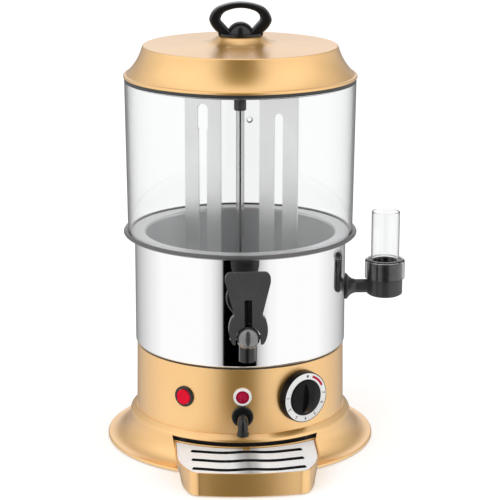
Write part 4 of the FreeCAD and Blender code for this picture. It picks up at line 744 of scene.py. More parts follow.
# ----------------------------------------------------------------------- the base
@dataclass
class Base:
    """Gold skirt and panel, with the feet, plate, screws, gland and rails under them."""

    panel_foot: float = 116.5
    panel_head: float = 115.6
    panel_levels: Triple = (9.5, 41.0, 110.0)
    panel_lip: float = 12.0
    panel_gauge: float = 1.2
    shoulder: float = 124.2
    shoulder_levels: Triple = (25.5, 31.8, 37.4)
    skirt_gauge: float = 1.4
    skirt_lap: float = 0.6
    flare_bends: Pair = (26.0, 24.0)
    rim: float = 149.7
    roll: float = 2.2
    roll_levels: Sizes = (1.5, 2.7, 4.3, 4.5)
    bay_halves: Pair = (73.5, 79.0)
    bay_reaches: Pair = (90.0, 290.0)
    bay_levels: Pair = (-0.01, 30.49)
    # Sizes of a dark sheet of painted shade at the back of the bay: its gauge, its levels and the
    # reach where it is cut off.
    bay_shade_gauge: float = 0.8
    bay_shade_levels: Pair = (9.6, 34.6)
    bay_shade_back: float = 86.0
    rail_reach: float = 105.0

    def build(self) -> None:
        """Build and dress the base."""
        self.make_skirt()
        self.make_panel()
        self.make_bay_shade()
        paint_nodes(DARK_RUBBER, "rubber_feet", "joint_gasket")
        paint_nodes(STEEL, "base_plate", "base_screws")
        rails = merged_copy("tray_rails")
        for vertex in rails.verts:
            vertex.co.y = max(vertex.co.y, -self.rail_reach)
        Piece("bay_rails", STEEL, "base", ("tray_rails",)).make(rails)
        refine(BLACK, "cord_gland")

    def make_skirt(self) -> None:
        """Trumpet skirt: a sloping shoulder and a flare to a rolled rim, open at the bay."""
        foot, shoulder, rim, gauge = self.panel_foot, self.shoulder, self.rim, self.skirt_gauge
        low, high, seat = self.shoulder_levels
        ground, under, side, crown = self.roll_levels
        inside, outside = self.flare_bends
        outline = Outline(foot, seat).to(foot, seat - gauge)
        outline.to(shoulder - gauge, high - gauge, 1.0).to(shoulder - gauge, low - gauge)
        outline.bow(rim - gauge, under, inside, steps=22).to(rim - gauge, ground)
        outline.to(rim, ground, 0.6).to(rim, side, 1.2).to(rim - self.roll, crown, 0.8)
        outline.bow(shoulder, low, -outside, steps=22).to(shoulder, high, 2.4)
        outline.to(foot + self.skirt_lap, seat, 0.5)
        skirt = Piece("spun_skirt", GOLD, "base", ("base_skirt",)).make(outline.turn(steps=180))
        carve(skirt, self.bay())

    def bay(self) -> Shape:
        """Block that opens the skirt for the tray.

        Returns:
            The block, in place and wider at its top.
        """
        foot_half, top_half = self.bay_halves
        back, front = self.bay_reaches
        low, high = self.bay_levels
        block = bmesh.new()
        bmesh.ops.create_cube(block, size=1.0)
        bmesh.ops.scale(block, vec=(2, front - back, high - low), verts=block.verts)
        for vertex in block.verts:
            vertex.co.x *= top_half if vertex.co.z > 0 else foot_half
        middle = (0, -(front + back) / 2, (low + high) / 2)
        bmesh.ops.translate(block, vec=middle, verts=block.verts)
        return block

    def make_panel(self) -> None:
        """Cone that carries the switch row, with both lips turned in."""
        low, waist, top = self.panel_levels
        foot, head, lip, gauge = self.panel_foot, self.panel_head, self.panel_lip, self.panel_gauge
        outline = Outline(foot - lip, low).to(foot, low, 1.2).to(foot, waist)
        outline.to(head, top, 1.3).to(head - lip, top)
        outline.to(head - lip, top - gauge).to(head - gauge, top - gauge)
        outline.to(foot - gauge, waist).to(foot - gauge, low + gauge)
        outline.to(foot - lip, low + gauge)
        Piece("panel_cone", GOLD, "base", ("control_panel",)).make(outline.turn(steps=180))

    def make_bay_shade(self) -> None:
        """Dark sheet round the panel's foot, at the back of the bay: painted shade for the shadowed
        gap there.
        """
        low, high = self.bay_shade_levels
        inner, outer = self.panel_foot, self.panel_foot + self.bay_shade_gauge
        shade_sheet = Outline(inner, low).to(outer, low).to(outer, high).to(inner, high).turn(steps=120)
        bmesh.ops.bisect_plane(shade_sheet, geom=shade_sheet.verts[:] + shade_sheet.edges[:] + shade_sheet.faces[:],
                               plane_co=(0, -self.bay_shade_back, 0), plane_no=(0, -1, 0),
                               clear_inner=True)
        Piece("bay_shade_sheet", DARK_RUBBER).make(shade_sheet)


# --------------------------------------------------------------- boiler and bowl
@dataclass
class Boiler:
    """Polished boiler, the bowl in it, and the dark ring that seals bowl and tank.

    Each size of the ring is a radius and then heights above the flange's underside.
    """

    column: float = 4.6
    radius: float = 117.0
    gauge: float = 1.2
    bottom: float = 111.5
    floor: float = 1.5
    flange: float = 236.5
    flange_radius: float = 121.1
    bowl_radius: float = 105.8
    bowl_bottom: float = 175.5
    bowl_gauge: float = 1.3
    ring_foot: Pair = (124.0, -3.5)
    ring_sides: Triple = (129.2, -1.0, 1.5)
    ring_crest: Pair = (127.0, 2.7)
    ring_groove: Triple = (124.7, 2.0, -0.5)

    def build(self) -> None:
        """Build and dress the boiler."""
        self.make_jacket()
        self.make_bowl()
        self.make_ring()
        paint_nodes(STEEL, "heater_ring", "column_locknut")
        paint_nodes(DARK_RUBBER, "column_seal")
        refine(ROD, "column_nut", edge=0.5)

    def make_jacket(self) -> None:
        """Polished pot with a rounded heel."""
        outer, inner, floor = self.radius, self.radius - self.gauge, self.bottom + self.floor
        outline = Outline(self.column, self.bottom).to(outer, self.bottom, 3.5)
        outline.to(outer, self.flange).to(inner, self.flange)
        outline.to(inner, floor, 2.3).to(self.column, floor)
        Piece("polished_jacket", MIRROR, "base", ("boiler_jacket",)).make(outline.turn(steps=220))

    def make_bowl(self) -> None:
        """Deep-drawn bowl with a rolled mouth and a flat flange."""
        outer, inner = self.bowl_radius, self.bowl_radius - self.bowl_gauge
        under, top = self.flange, self.flange + self.bowl_gauge
        bottom, floor = self.bowl_bottom, self.bowl_bottom + self.bowl_gauge
        outline = Outline(self.column, bottom).to(outer, bottom, 6.3).to(outer, under, 1.7)
        outline.to(self.flange_radius, under).to(self.flange_radius, top).to(inner, top, 3.0)
        outline.to(inner, floor, 5.0).to(self.column, floor)
        Piece("drawn_bowl", BOWL, "base", ("bowl",)).make(outline.turn(steps=200))

    def make_ring(self) -> None:
        """Moulded ring round the bowl's flange, with the groove that the tank stands in."""
        under, inner, flange = self.flange, self.radius, self.flange_radius
        foot, sink = self.ring_foot
        side, low, high = self.ring_sides
        crest, rise = self.ring_crest
        groove, lip, seat = self.ring_groove
        outline = Outline(inner, under + sink).to(foot, under + sink, 0.6)
        outline.to(side, under + low, 1.8).to(side, under + high, 1.4)
        outline.to(crest, under + rise, 0.9).to(groove, under + lip, 0.3)
        outline.to(groove, under + seat).to(flange, under + seat)
        outline.to(flange, under).to(inner, under)
        Piece("moulded_ring", RUBBER, "base", ("rim_gasket",)).make(outline.turn(steps=200))


# ------------------------------------------------------------ column and agitator
@dataclass
class Agitator:
    """Fixed column, the shaft in it, and the slotted paddle that hangs from its hub."""

    column_radii: Pair = (3.4, Boiler.column)
    column_levels: Pair = (99.0, 379.0)

    def build(self) -> None:
        """Build and dress the column, the paddle and the drive."""
        rod = tube(*self.column_radii, *self.column_levels, steps=64)
        Piece("column_rod", ROD, "base", ("column_tube",)).make(rod)
        refine(PADDLE, "agitator_frame", "agitator", edge=0.25)
        refine(SATIN, "agitator_hub", "agitator", edge=0.3)
        refine(STEEL, "agitator_pin", "agitator", edge=0.4)
        paint_nodes(ROD, "agitator_shaft")
        paint_nodes(STEEL, "drive_coupling", "motor_bracket")
        paint_nodes(BRASS, "column_bush")
        paint_nodes(GREY, "gear_motor")


# ------------------------------------------------------------------- tank and lid
@dataclass
class Tank:
    """Clear tank with its one vent hole."""

    foot: float = 124.4
    head: float = 126.6
    wall: float = 3.0
    levels: Pair = (236.0, 405.2)
    vent_radius: float = 2.5
    vent_level: float = 383.5
    vent_turn: float = 1.3
    drill_taper: Pair = (-0.9, 1.4)
    drill_length: float = 8.0
    drill_sink: float = 1.8
    vent_shade_margin: float = 1.0

    def build(self) -> None:
        """Build and dress the tank."""
        low, high = self.levels
        outline = Outline(self.foot - self.wall, low).to(self.foot, low, 0.5)
        outline.to(self.head, high, 0.6).to(self.head - self.wall, high, 0.6)
        tank = Piece("clear_tank", CLEAR, "tank", ("tank_cylinder",)).make(outline.turn(steps=220))
        inside, outside = (self.vent_radius + change for change in self.drill_taper)
        way = facing(self.vent_turn, self.vent_level)
        carve(tank, cone(inside, outside, self.drill_length),
              way @ Matrix.Translation((0, 0, self.head - self.drill_sink)))
        # The vent hole's drilled wall is real. Its dark grey, and the dark rim it spreads to round
        # the hole on the tank's faces, are painted shade.
        tank.data.materials.append(DRILL_WALL_AND_SHADE.material())
        back = way.inverted()
        for face in tank.data.polygons:
            spot = back @ (face.center / MM)
            if spot.z > 0 and spot.to_2d().length < self.vent_radius + self.vent_shade_margin:
                face.material_index = 1


@dataclass
class Lid:
    """Spun gold lid with its seal, loop handle and dome cap.

    A corner of the shell is its radius and its rise above the brim's level. The corners
    called hollow are those of the shell's underside.
    """

    brim_level: float = 406.8
    brim_lift: float = 2.2
    tank_top: float = Tank.levels[1]
    seal_radii: Sizes = (120.8, 123.2, 123.3, 126.6)
    seal_lip: float = 1.5
    gauge: float = 1.2
    boss: Pair = (24.0, 47.4)
    boss_foot: Pair = (34.2, 38.2)
    boss_hollow: Pair = (32.6, 36.8)
    shoulder: Pair = (106.2, 36.5)
    shoulder_hollow: Pair = (105.0, 35.2)
    side: Pair = (107.1, 34.2)
    side_hollow: Pair = (105.9, 33.4)
    side_bends: Pair = (61.0, 60.0)
    brim_radii: Sizes = (124.0, 124.6, 127.6, 125.0)
    brim_rises: Triple = (2.0, 2.6, 3.2)
    handle_foot: float = 2.2
    cap: Pair = (14.4, 11.9)
    cap_bore: Pair = (2.5, 6.0)

    def build(self) -> None:
        """Build and dress the lid."""
        self.make_seal()
        self.make_shell()
        self.make_cap()
        refine(BLACK, "lid_handle", "lid", edge=0.35, crease=40)
        paint_nodes(STEEL, "handle_washer", "handle_screw")

    def at(self, corner: Pair) -> Pair:
        """Radius and height of one of the shell's corners."""
        return corner[0], self.brim_level + corner[1]

    def make_seal(self) -> None:
        """Black ring over the tank's edge, with its lip inside."""
        base, top = self.tank_top, self.brim_level + self.brim_lift
        inner, lip, seat, outer = self.seal_radii
        outline = Outline(inner, base - self.seal_lip).to(lip, base - self.seal_lip, 0.5)
        outline.to(seat, base).to(outer, base, 0.3).to(outer, top).to(inner, top)
        Piece("lid_seal_ring", DARK_RUBBER, "lid", ("lid_seal",)).make(outline.turn(steps=200))

    def make_shell(self) -> None:
        """Rolled brim, hollow sloping side, crisp shoulder, nearly flat top and raised boss."""
        boss, top = self.at(self.boss)
        gauge, brim = self.gauge, self.brim_level + self.brim_lift
        inner, seat, outer, roll = self.brim_radii
        under, side, crown = self.brim_rises
        inside, outside = self.side_bends
        outline = Outline(0, top).to(0, top - gauge).to(boss - gauge, top - gauge, 3.0)
        outline.to(*self.at(self.boss_hollow), 3.0).to(*self.at(self.shoulder_hollow), 0.8)
        outline.to(*self.at(self.side_hollow)).bow(inner, brim + under, inside, steps=20)
        outline.to(seat, brim).to(outer, brim, 0.6).to(outer, brim + side, 1.1)
        outline.to(roll, brim + crown, 0.5).bow(*self.at(self.side), -outside, steps=20)
        outline.to(*self.at(self.shoulder), 1.3).to(*self.at(self.boss_foot), 9.0)
        outline.to(boss, top, 3.2)
        Piece("spun_lid", GOLD, "lid", ("lid_shell",)).make(outline.turn(steps=200))

    def make_cap(self) -> None:
        """Glossy dome cap in the handle's foot."""
        floor = self.at(self.boss)[1] + self.handle_foot
        radius, rise = self.cap
        bore, depth = self.cap_bore
        outline = Outline(bore, floor).to(radius, floor)
        outline.bow(0, floor + rise, (radius ** 2 + rise ** 2) / (2 * rise), steps=16)
        outline.to(0, floor + depth).to(bore, floor + depth)
        Piece("dome_cap", BLACK, "lid", ("handle_cap",)).make(outline.turn(steps=64))


# --------------------------------------------------------------------------- tap
@dataclass
class Tap:
    """Moulded tap: body with spout, glossy dome, plunger and the forked lever.

    A row of the lever's raised panel is its half width, its level and its reach.
    """

    pivot_reach: float = 154.0
    pivot_level: float = 158.0
    chamber_end: float = 157.5
    dome: float = 12.7
    panel_rows: tuple[Triple, ...] = (
        (13.7, 222.5, 151.7), (7.6, 207.0, 155.1), (4.3, 199.0, 156.7))
    panel_gauge: float = 1.6

    def build(self) -> None:
        """Build and dress the tap."""
        refine(BLACK, "tap_body", edge=0.3)
        refine(SATIN, "tap_lever", "tap_handle", edge=0.6, crease=30)
        refine(STEEL, "tap_pivot_pin", "tap_handle", edge=0.3)
        self.make_lever_panel()
        self.make_dome()
        paint_nodes(DARK_RUBBER, "tap_gasket")
        paint_nodes(SATIN, "tap_plunger")
        paint_nodes(BLACK, "tap_shank", "tap_nut")

    def make_lever_panel(self) -> None:
        """Raised panel on the lever's face, tapering downwards as the lever does."""
        mesh = bmesh.new()
        corners = [[mesh.verts.new((side * half, -reach, level)) for side in (-1, 1)]
                   for half, level, reach in self.panel_rows]
        for upper, lower in zip(corners, corners[1:]):
            mesh.faces.new((upper[0], lower[0], lower[1], upper[1]))
        bmesh.ops.recalc_face_normals(mesh, faces=mesh.faces)
        bmesh.ops.solidify(mesh, geom=mesh.faces[:], thickness=self.panel_gauge)
        bmesh.ops.recalc_face_normals(mesh, faces=mesh.faces)
        Piece("lever_panel", SATIN, "tap_handle", edge=0.5, crease=40).make(mesh)

    def make_dome(self) -> None:
        """Glossy dome over the cam chamber."""
        rim = math.sqrt(self.dome ** 2 - (self.chamber_end - self.pivot_reach) ** 2)
        outline = Outline(0, self.chamber_end).to(rim, self.chamber_end)
        outline.bow(0, self.pivot_reach + self.dome, self.dome, steps=20)
        Piece("tap_dome_cap", DOME, "base", ("tap_dome",)).make(
            outline.turn(steps=72), facing(0, self.pivot_level))


# -------------------------------------------------------------------- water inlet
@dataclass
class Inlet:
    """Water filler: pipe and black cup, clear screw collar and the clear tube."""

    reach: float = 162.7
    level: float = 170.0
    bore: float = 16.05
    well: Pair = (13.5, 161.6)
    cup_radius: float = 20.0
    cup_bend: float = 10.0
    cup_levels: Sizes = (159.0, 162.0, 180.0, 199.0)
    collar_radii: Pair = (20.3, 22.3)
    collar_levels: Pair = (179.6, 201.0)
    tube_radii: Pair = (14.15, 15.75)
    tube_top: float = 255.5
    pipe_radii: Pair = (5.5, 7.6)
    pipe_ends: Pair = (109.8, 147.9)
    flange: float = 14.6
    flange_ends: Pair = (118.5, 119.9)
    flare_end: float = 130.0
    flare_bend: float = 13.0

    def build(self) -> None:
        """Build and dress the filler."""
        self.make_cup()
        self.make_collar()
        self.make_tube()
        self.make_pipe()
        paint_nodes(DARK_RUBBER, "inlet_gasket")
        paint_nodes(BLACK, "inlet_nut")

    def stand(self, piece: Piece, outline: Outline) -> None:
        """Turn and finish a piece that stands upright on the filler's own axis."""
        piece.make(outline.turn(steps=96), Matrix.Translation((self.reach, 0, 0)))

    def make_cup(self) -> None:
        """Round cup with a bowed foot and a step that the tube stands on."""
        foot, side, step, mouth = self.cup_levels
        well, floor = self.well
        outline = Outline(0, foot).to(well, foot, 0.8)
        outline.bow(self.cup_radius, side, self.cup_bend, steps=10)
        outline.to(self.cup_radius, mouth, 0.5).to(self.bore, mouth, 0.4).to(self.bore, step)
        outline.to(well, step).to(well, floor, 2.6).to(0, floor)
        self.stand(Piece("filler_cup", FILLER, "base", ("inlet_cup",)), outline)

    def make_collar(self) -> None:
        """Clear collar screwed over the cup's mouth."""
        inner, outer = self.collar_radii
        low, high = self.collar_levels
        mouth = self.cup_levels[-1]
        outline = Outline(inner, low).to(outer, low, 0.6).to(outer, high, 2.2)
        outline.to(self.bore, high, 0.3).to(self.bore, mouth).to(inner, mouth)
        self.stand(Piece("clear_collar", CLEAR, "base", ("inlet_collar",)), outline)

    def make_tube(self) -> None:
        """Clear tube that stands in the cup."""
        inner, outer = self.tube_radii
        step, top = self.cup_levels[2], self.tube_top
        outline = Outline(inner, step).to(outer, step, 0.4).to(outer, top, 0.6)
        outline.to(inner, top, 0.6)
        self.stand(Piece("clear_tube", CLEAR, "filler_tube", ("inlet_tube",)), outline)

    def make_pipe(self) -> None:
        """Pipe from the boiler to the cup, with its flared flange."""
        inner, outer = self.pipe_radii
        back, front = self.pipe_ends
        seat, face = self.flange_ends
        outline = Outline(inner, back).to(outer, back).to(outer, seat)
        outline.to(self.flange, seat, 0.3).to(self.flange, face, 0.5)
        outline.bow(outer, self.flare_end, -self.flare_bend).to(outer, front)
        outline.to(inner, front)
        Piece("filler_pipe", FILLER, "base", ("inlet_pipe",)).make(
            outline.turn(steps=72), facing(90, self.level))


# ------------------------------------------------------------------ the switch row
@dataclass
class SwitchRow:
    """Rocker switch, signal lamp, thermostat knob and drain along the gold panel.

    Each place is a turn in degrees from the front and a level. Corners are a radius and a
    height above the panel, or a depth below it where the name says so.
    """

    panel_foot: Pair = (Base.panel_foot, Base.panel_levels[1])
    panel_head: Pair = (Base.panel_head, Base.panel_levels[2])
    switch: Pair = (-34.3, 75.0)
    switch_depth: Pair = (9.9, 17.0)
    switch_rim: Pair = (11.5, 2.2)
    switch_well: Pair = (8.7, 4.4)
    lamp: Pair = (-1.8, 80.0)
    lamp_depth: Pair = (7.9, 22.0)
    lamp_rim: Pair = (10.0, 3.0)
    lamp_mouth: float = 7.2
    lens_foot: Pair = (7.1, 2.6)
    lens_step: Pair = (5.9, 2.9)
    lens_groove: Pair = (5.5, 2.2)
    lens_top: float = 6.4
    lens_bend: float = 8.2
    dial: Pair = (31.4, 75.0)
    knob_tilt: float = -6.0
    knob_gap: float = 0.6
    knob_height: float = 8.8
    knob_radii: Triple = (3.0, 28.6, 27.9)
    ring_radii: Pair = (20.2, 27.0)
    ring_depth: float = 0.8
    scale_radius: float = 23.6
    dot: Triple = (1.5, 1.4, 0.12)
    dot_lift: float = 0.03
    arc_radii: Pair = (22.4, 25.0)
    arc_heights: Pair = (-0.05, 0.08)
    arc_start: float = 31.0
    arc_span: float = 43.0
    digit_turns: Sizes = (271, 238, 205, 174, 143, 107, 80)
    digit_size: float = 5.0
    digit_offset: float = 0.1
    digit_depth: float = 0.06
    digit_sink: float = 0.02
    drain: Pair = (-1.8, 58.0)
    drain_back: float = 110.4
    drain_radii: Pair = (3.6, 7.5)
    drain_rim: Pair = (11.8, 4.0)
    drain_mouth: float = 8.6
    drain_socket: Pair = (5.74, 2.6)

    def build(self) -> None:
        """Build and dress the switch row."""
        self.make_switch()
        self.make_lamp()
        self.make_knob()
        self.make_drain()
        paint_nodes(GREY, "thermostat_body")
        paint_nodes(STEEL, "thermostat_spindle")
        paint_nodes(BLACK, "drain_pipe")

    def face(self, level: float) -> float:
        """Radius of the panel's cone at a level."""
        (foot, low), (head, high) = self.panel_foot, self.panel_head
        return foot - (foot - head) * (level - low) / (high - low)

    def make_switch(self) -> None:
        """Round rocker switch with its black bezel."""
        seat = self.face(self.switch[1])
        body, depth = self.switch_depth
        rim, height = self.switch_rim
        well, sink = self.switch_well
        outline = Outline(0, seat - depth).to(body, seat - depth, 0.5).to(body, seat)
        outline.to(rim, seat, 0.2).to(rim, seat + height, 1.1).to(well, seat + height, 0.4)
        outline.to(well, seat - sink).to(0, seat - sink)
        Piece("rocker_bezel", BLACK, "base", ("switch_bezel",)).make(
            outline.turn(steps=72), facing(*self.switch))
        refine(RED, "switch_rocker", "power_rocker", edge=0.5, crease=12)

    def make_lamp(self) -> None:
        """Signal lamp: a white bezel and a domed red lens."""
        seat = self.face(self.lamp[1])
        body, depth = self.lamp_depth
        rim, height = self.lamp_rim
        outline = Outline(0, seat - depth).to(body, seat - depth, 1.0).to(body, seat)
        outline.to(rim, seat, 0.2).to(rim, seat + height, 1.4)
        outline.to(self.lamp_mouth, seat + height, 0.3).to(self.lamp_mouth, seat).to(0, seat)
        Piece("lamp_ring", WHITE, "base", ("lamp_bezel",)).make(
            outline.turn(steps=72), facing(*self.lamp))
        outline = Outline(0, seat).to(self.lens_foot[0], seat)
        for radius, height in (self.lens_foot, self.lens_step, self.lens_groove):
            outline.to(radius, seat + height, 0.3)
        outline.bow(0, seat + self.lens_top, self.lens_bend)
        Piece("lamp_glass", LENS, "base", ("lamp_lens",)).make(
            outline.turn(steps=72), facing(*self.lamp))

    def make_knob(self) -> None:
        """Thermostat knob: dark skirt, white dial with its scale, and the bladed grip."""
        back = self.face(self.dial[1]) + self.knob_gap
        front = back + self.knob_height
        bore, foot, head = self.knob_radii
        inner, outer = self.ring_radii
        bed = front - self.ring_depth
        place = facing(*self.dial, self.knob_tilt)
        outline = Outline(bore, back).to(foot, back, 0.6).to(head, front, 0.6)
        outline.to(outer, front).to(outer, bed).to(inner, bed).to(inner, front, 0.2)
        outline.to(bore, front)
        skirt = Piece("knob_skirt", GRIP, "thermostat_dial", ("thermostat_knob",))
        skirt.make(outline.turn(steps=96), place)
        ring = Piece("dial_face", WHITE, "thermostat_dial", ("dial_ring",))
        ring.make(tube(inner, outer, bed, front, 0.15), place)
        self.make_marks(place, front)
        self.make_numbers(place, front)
        refine(GRIP, "knob_grip", "thermostat_dial", edge=0.7, crease=30)

    def make_marks(self, place: Matrix, front: float) -> None:
        """Printed marks of the dial: the dot of its stop and the red arc of its hot end.

        Args:
            place: where the knob goes.
            front: the height of the dial's face along the knob's axis.
        """
        dot = cone(*self.dot)
        bmesh.ops.translate(dot, vec=(0, self.scale_radius, front + self.dot_lift), verts=dot.verts)
        Piece("dial_dot", PRINT, "thermostat_dial").make(dot, place)
        inner, outer = self.arc_radii
        low, high = (front + height for height in self.arc_heights)
        arc = Outline(inner, low).to(outer, low).to(outer, high).to(inner, high)
        mesh = arc.mesh
        mesh.edges.new((arc.last, arc.first))
        bmesh.ops.contextual_create(mesh, geom=mesh.edges[:])
        bmesh.ops.spin(mesh, geom=mesh.verts[:] + mesh.edges[:] + mesh.faces[:],
                       axis=(0, 0, 1), angle=math.radians(self.arc_span), steps=18)
        start = Matrix.Rotation(math.radians(self.arc_start), 3, "Z")
        bmesh.ops.rotate(mesh, matrix=start, verts=mesh.verts)
        bmesh.ops.recalc_face_normals(mesh, faces=mesh.faces)
        Piece("dial_red_arc", RED_PRINT, "thermostat_dial").make(mesh, place)

    def make_numbers(self, place: Matrix, front: float) -> None:
        """Printed numbers of the dial, each upright as seen from the middle.

        Args:
            place: where the knob goes.
            front: the height of the dial's face along the knob's axis.
        """
        height = front - self.digit_sink
        for number, clockwise in enumerate(self.digit_turns, start=1):
            around = math.radians(90 - clockwise)
            spot = Vector((self.scale_radius * math.cos(around),
                           self.scale_radius * math.sin(around), height))
            turned = Matrix.Rotation(math.radians(-clockwise), 4, "Z")
            Piece("dial_number_%d" % number, PRINT, "thermostat_dial").make(
                self.digit(number), place @ Matrix.Translation(spot) @ turned)

    def digit(self, number: int) -> Shape:
        """Solid numeral, its middle at the origin.

        Args:
            number: what it reads.

        Returns:
            The numeral's mesh, in millimetres.
        """
        letter = bpy.data.curves.new("digit", "FONT")
        letter.body = str(number)
        letter.size = self.digit_size
        letter.offset = self.digit_offset
        letter.extrude = self.digit_depth
        letter.align_x, letter.align_y = "CENTER", "CENTER"
        held = link_object("digit", letter)
        bpy.context.view_layer.update()
        graph = bpy.context.evaluated_depsgraph_get()
        data = bpy.data.meshes.new_from_object(held.evaluated_get(graph))
        bpy.data.objects.remove(held)
        mesh = bmesh.new()
        mesh.from_mesh(data)
        bmesh.ops.remove_doubles(mesh, verts=mesh.verts, dist=WELD)
        return mesh

    def make_drain(self) -> None:
        """Drain: a glossy collar and the bent spout."""
        seat, back = self.face(self.drain[1]), self.drain_back
        bore, thread = self.drain_radii
        rim, height = self.drain_rim
        socket, depth = self.drain_socket
        outline = Outline(bore, back).to(thread, back).to(thread, seat).to(rim, seat, 0.3)
        outline.to(rim, seat + height, 1.4).to(self.drain_mouth, seat + height, 0.6)
        outline.to(socket, seat + depth).to(socket, seat).to(bore, seat)
        Piece("drain_ring", BLACK, "base", ("drain_collar",)).make(
            outline.turn(steps=72), facing(*self.drain))
        refine(BLACK, "drain_spout", "drain_outlet", edge=0.4)


# --------------------------------------------------------------------- drip tray
@dataclass
class Tray:
    """Gold drip pan with painted shade inside it, and its polished plate with painted shade on its
    slot walls.

    The slants are the least part of a face's normal that counts as facing a way.
    """

    pan_middle: float = 165.0
    pan_inside: float = 23.3
    upward_slant: float = 0.5
    inward_slant: float = 0.01
    slot_reach: float = 5.0
    slot_slant: float = 0.7

    def build(self) -> None:
        """Build and dress the tray."""
        pan = refine(GOLD, "drip_pan", "drip_tray", edge=0.35)
        # Painted shade: the pan's low faces that point up or inwards get the satin black finish
        # instead of gold.
        pan.data.materials.append(SATIN.material())
        middle = Vector((0, -self.pan_middle * MM, 0))
        for face in pan.data.polygons:
            outwards = (face.center - middle).to_2d().dot(face.normal.to_2d())
            upwards, inwards = face.normal.z > self.upward_slant, outwards < -self.inward_slant
            if face.center.z < self.pan_inside * MM and (upwards or inwards):
                face.material_index = 1
        plate = refine(TRAY_PLATE, "drip_plate", "drip_grate", edge=0.3)
        # Painted shade: the slot walls of the steel plate get the dark rubber finish.
        plate.data.materials.append(DARK_RUBBER.material())
        reach = [vertex.co.y for vertex in plate.data.vertices]
        for face in plate.data.polygons:
            ahead = face.center.y + self.slot_reach * MM * face.normal.y
            if abs(face.normal.y) > self.slot_slant and min(reach) < ahead < max(reach):
                face.material_index = 1


# -------------------------------------------------------------------------- studio
class Band(Enum):
    """Bands of the painted surroundings, each as half a turn's share and a grey level."""

    GAP = (0.0, 0.0)
    GAP_EDGE = (0.099, 0.0)
    BOX_EDGE = (0.107, 0.50)
    BOX_INNER = (0.14, 0.74)
    BOX_MIDDLE = (0.178, 0.92)
    BOX = (0.24, 1.0)
    SIDE = (0.52, 1.0)
    SIDE_OUTER = (0.64, 0.82)
    BACK = (0.78, 0.56)
    BACK_INNER = (0.91, 0.24)
    BEHIND = (1.0, 0.20)


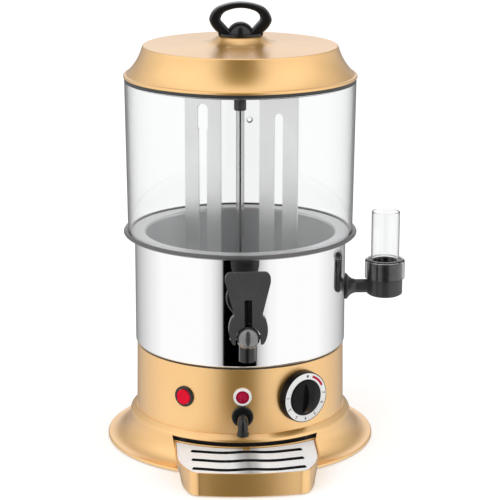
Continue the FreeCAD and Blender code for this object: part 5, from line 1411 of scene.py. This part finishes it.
@dataclass
class Studio:
    """Pale floor, even light, painted soft boxes for gloss, and the camera.

    A light or shade of the painted boxes sets in between a pair of places, which are heights
    of the reflected direction or parts of half a turn, and comes to its amount there.
    """

    lens: float = 137.95
    sensor: float = 36.0
    farthest: float = 50.0
    eye: Triple = (-0.1119, -2.0680, 0.741)
    pitch: float = 75.7
    yaw: float = -3.4
    roll: float = 0.126
    ambient: float = 0.97
    key_power: float = 12.0
    fill_power: float = 4.2
    key_place: Triple = (-1.3, -1.6, 2.2)
    fill_place: Triple = (1.8, -1.0, 1.4)
    lamp_size: float = 1.6
    lamp_aim: Triple = (0, 0, 0.2)
    floor_radius: float = 6.0
    floor_grey: float = 0.9
    floor_glow: float = 0.20
    lean: Pair = (0.35, 0.7)
    lean_amount: float = 0.035
    low_light: Pair = (-0.05, 0.16)
    back_light: Pair = (0.84, 0.96)
    top_light: Pair = (0.92, 0.995)
    top_amount: float = 0.85
    light_tone: Triple = (0.92, 0.92, 0.93)
    shade: Pair = (0.05, 0.35)
    shade_amount: float = 0.06
    shade_right: float = 0.18
    shade_stops: tuple[Pair, ...] = ((0.45, 0.0), (0.62, 1.0), (0.86, 1.0), (0.95, 0.0))
    strength: Pair = (0.25, 0.6)
    strength_amounts: Pair = (1.0, 1.2)

    def build(self) -> None:
        """Set up the whole studio."""
        self.make_world()
        self.make_floor()
        self.make_lamp("key_lamp", self.key_place, self.key_power)
        self.make_lamp("fill_lamp", self.fill_place, self.fill_power)
        self.make_camera()
        bpy.context.scene.view_settings.view_transform = "Standard"

    def make_world(self) -> None:
        """White behind, even light all round, and painted soft boxes that only gloss sees."""
        world = bpy.data.worlds.new("studio")
        bpy.context.scene.world = world
        bench = Bench(world)
        path = bench.add("LightPath").outputs
        even = bench.add("Background", Color=(1, 1, 1, 1), Strength=self.ambient)
        white = bench.add("Background", Color=(1, 1, 1, 1), Strength=1.0)
        painted = self.paint_boxes(bench)
        through = path["Is Transmission Ray"]
        mirrored = bench.maths("GREATER_THAN", path["Glossy Depth"], 0.5)
        shown = bench.maths("MAXIMUM", path["Is Glossy Ray"],
                            bench.maths("MULTIPLY", through, mirrored))
        first = bench.add("MixShader", Fac=shown, i1=even.outputs[0], i2=painted)
        clear = bench.maths("MAXIMUM", path["Is Camera Ray"],
                            bench.maths("SUBTRACT", through, mirrored))
        last = bench.add("MixShader", Fac=clear, i1=first.outputs[0], i2=white.outputs[0])
        bench.add("OutputWorld", Surface=last.outputs[0])

    def paint_boxes(self, bench: Bench) -> Socket:
        """Soft boxes either side of the camera, in bands that stand upright round the machine.

        Args:
            bench: the world's nodes.

        Returns:
            The socket of their Background shader.
        """
        direction = bench.add("TexCoord").outputs["Generated"]
        turned = bench.add("Mapping", {"vector_type": "VECTOR"}, Vector=direction,
                           Rotation=(0, 0, math.radians(-self.yaw)))
        split = bench.add("SeparateXYZ", Vector=turned.outputs[0]).outputs
        front = bench.maths("MULTIPLY", split["Y"], -1.0)
        around = bench.maths("ABSOLUTE", bench.maths("ARCTAN2", split["X"], front))
        share = bench.maths("DIVIDE", around, math.pi)
        height = split["Z"]
        lean = bench.maths("MULTIPLY", bench.climb(height, *self.lean), self.lean_amount)
        bands = bench.ramp(bench.maths("SUBTRACT", share, lean), *[band.value for band in Band])
        back = bench.maths("MULTIPLY", bench.climb(height, *self.low_light),
                           bench.climb(share, *self.back_light))
        top = bench.maths("MULTIPLY", bench.climb(height, *self.top_light), self.top_amount)
        light = bench.mix(bench.maths("MAXIMUM", back, top), bands, self.light_tone + (1,))
        right = bench.maths("GREATER_THAN", split["X"], 0.0)
        depth = bench.maths("ADD", bench.maths("MULTIPLY", right, self.shade_right),
                            self.shade_amount)
        above = bench.maths("MULTIPLY", depth, bench.climb(height, *self.shade))
        dim = bench.maths("MULTIPLY", above, bench.ramp(share, *self.shade_stops))
        strength = bench.spread(bench.climb(height, *self.strength), *self.strength_amounts)
        return bench.add("Background", Color=bench.mix(dim, light, (0, 0, 0, 1)),
                         Strength=strength).outputs[0]

    def make_floor(self) -> None:
        """Pale floor that keeps the machine's shadow and glows a little to the camera."""
        mesh = bmesh.new()
        bmesh.ops.create_circle(mesh, cap_ends=True, segments=96, radius=self.floor_radius)
        floor = shape_object("floor", mesh)
        material = bpy.data.materials.new("pale floor")
        bench = Bench(material)
        path = bench.add("LightPath").outputs
        seen = bench.maths("MAXIMUM", path["Is Camera Ray"], path["Is Transmission Ray"])
        bench.finish(Base_Color=(self.floor_grey,) * 3 + (1,), Roughness=0.9,
                     Specular_IOR_Level=0.0, Emission_Color=(1, 1, 1, 1),
                     Emission_Strength=bench.maths("MULTIPLY", seen, self.floor_glow))
        floor.data.materials.append(material)
        floor.visible_glossy = floor.visible_transmission = False

    def make_lamp(self, name: str, where: Triple, power: float) -> None:
        """Large soft lamp that no gloss reflects.

        Args:
            name: the lamp's name.
            where: its place.
            power: its power in watts.
        """
        light = bpy.data.lights.new(name, "AREA")
        light.size = self.lamp_size
        light.energy = power
        lamp = link_object(name, light)
        lamp.location = where
        lamp.rotation_mode = "QUATERNION"
        aim = Vector(self.lamp_aim) - Vector(where)
        lamp.rotation_quaternion = aim.to_track_quat("-Z", "Y")
        lamp.visible_glossy = False

    def make_camera(self) -> None:
        """Long lens a little above the machine, as in a catalogue picture."""
        data = bpy.data.cameras.new("camera")
        data.lens = self.lens
        data.sensor_width = self.sensor
        data.clip_end = self.farthest
        camera = link_object("camera", data)
        turn = (Matrix.Rotation(math.radians(self.yaw), 4, "Z")
                @ Matrix.Rotation(math.radians(self.pitch), 4, "X")
                @ Matrix.Rotation(math.radians(self.roll), 4, "Z"))
        camera.matrix_world = Matrix.Translation(self.eye) @ turn
        bpy.context.scene.camera = camera


def main() -> None:
    """Build the machine's sub-assemblies in order, then the studio round them."""
    logging.basicConfig(level=logging.INFO, format="%(message)s")
    for part in (Base(), Boiler(), Agitator(), Tank(), Lid(), Tap(), Inlet(), SwitchRow(), Tray()):
        LOG.info("building %s", type(part).__name__)
        part.build()
    Studio().build()


if __name__ == "__main__":
    main()
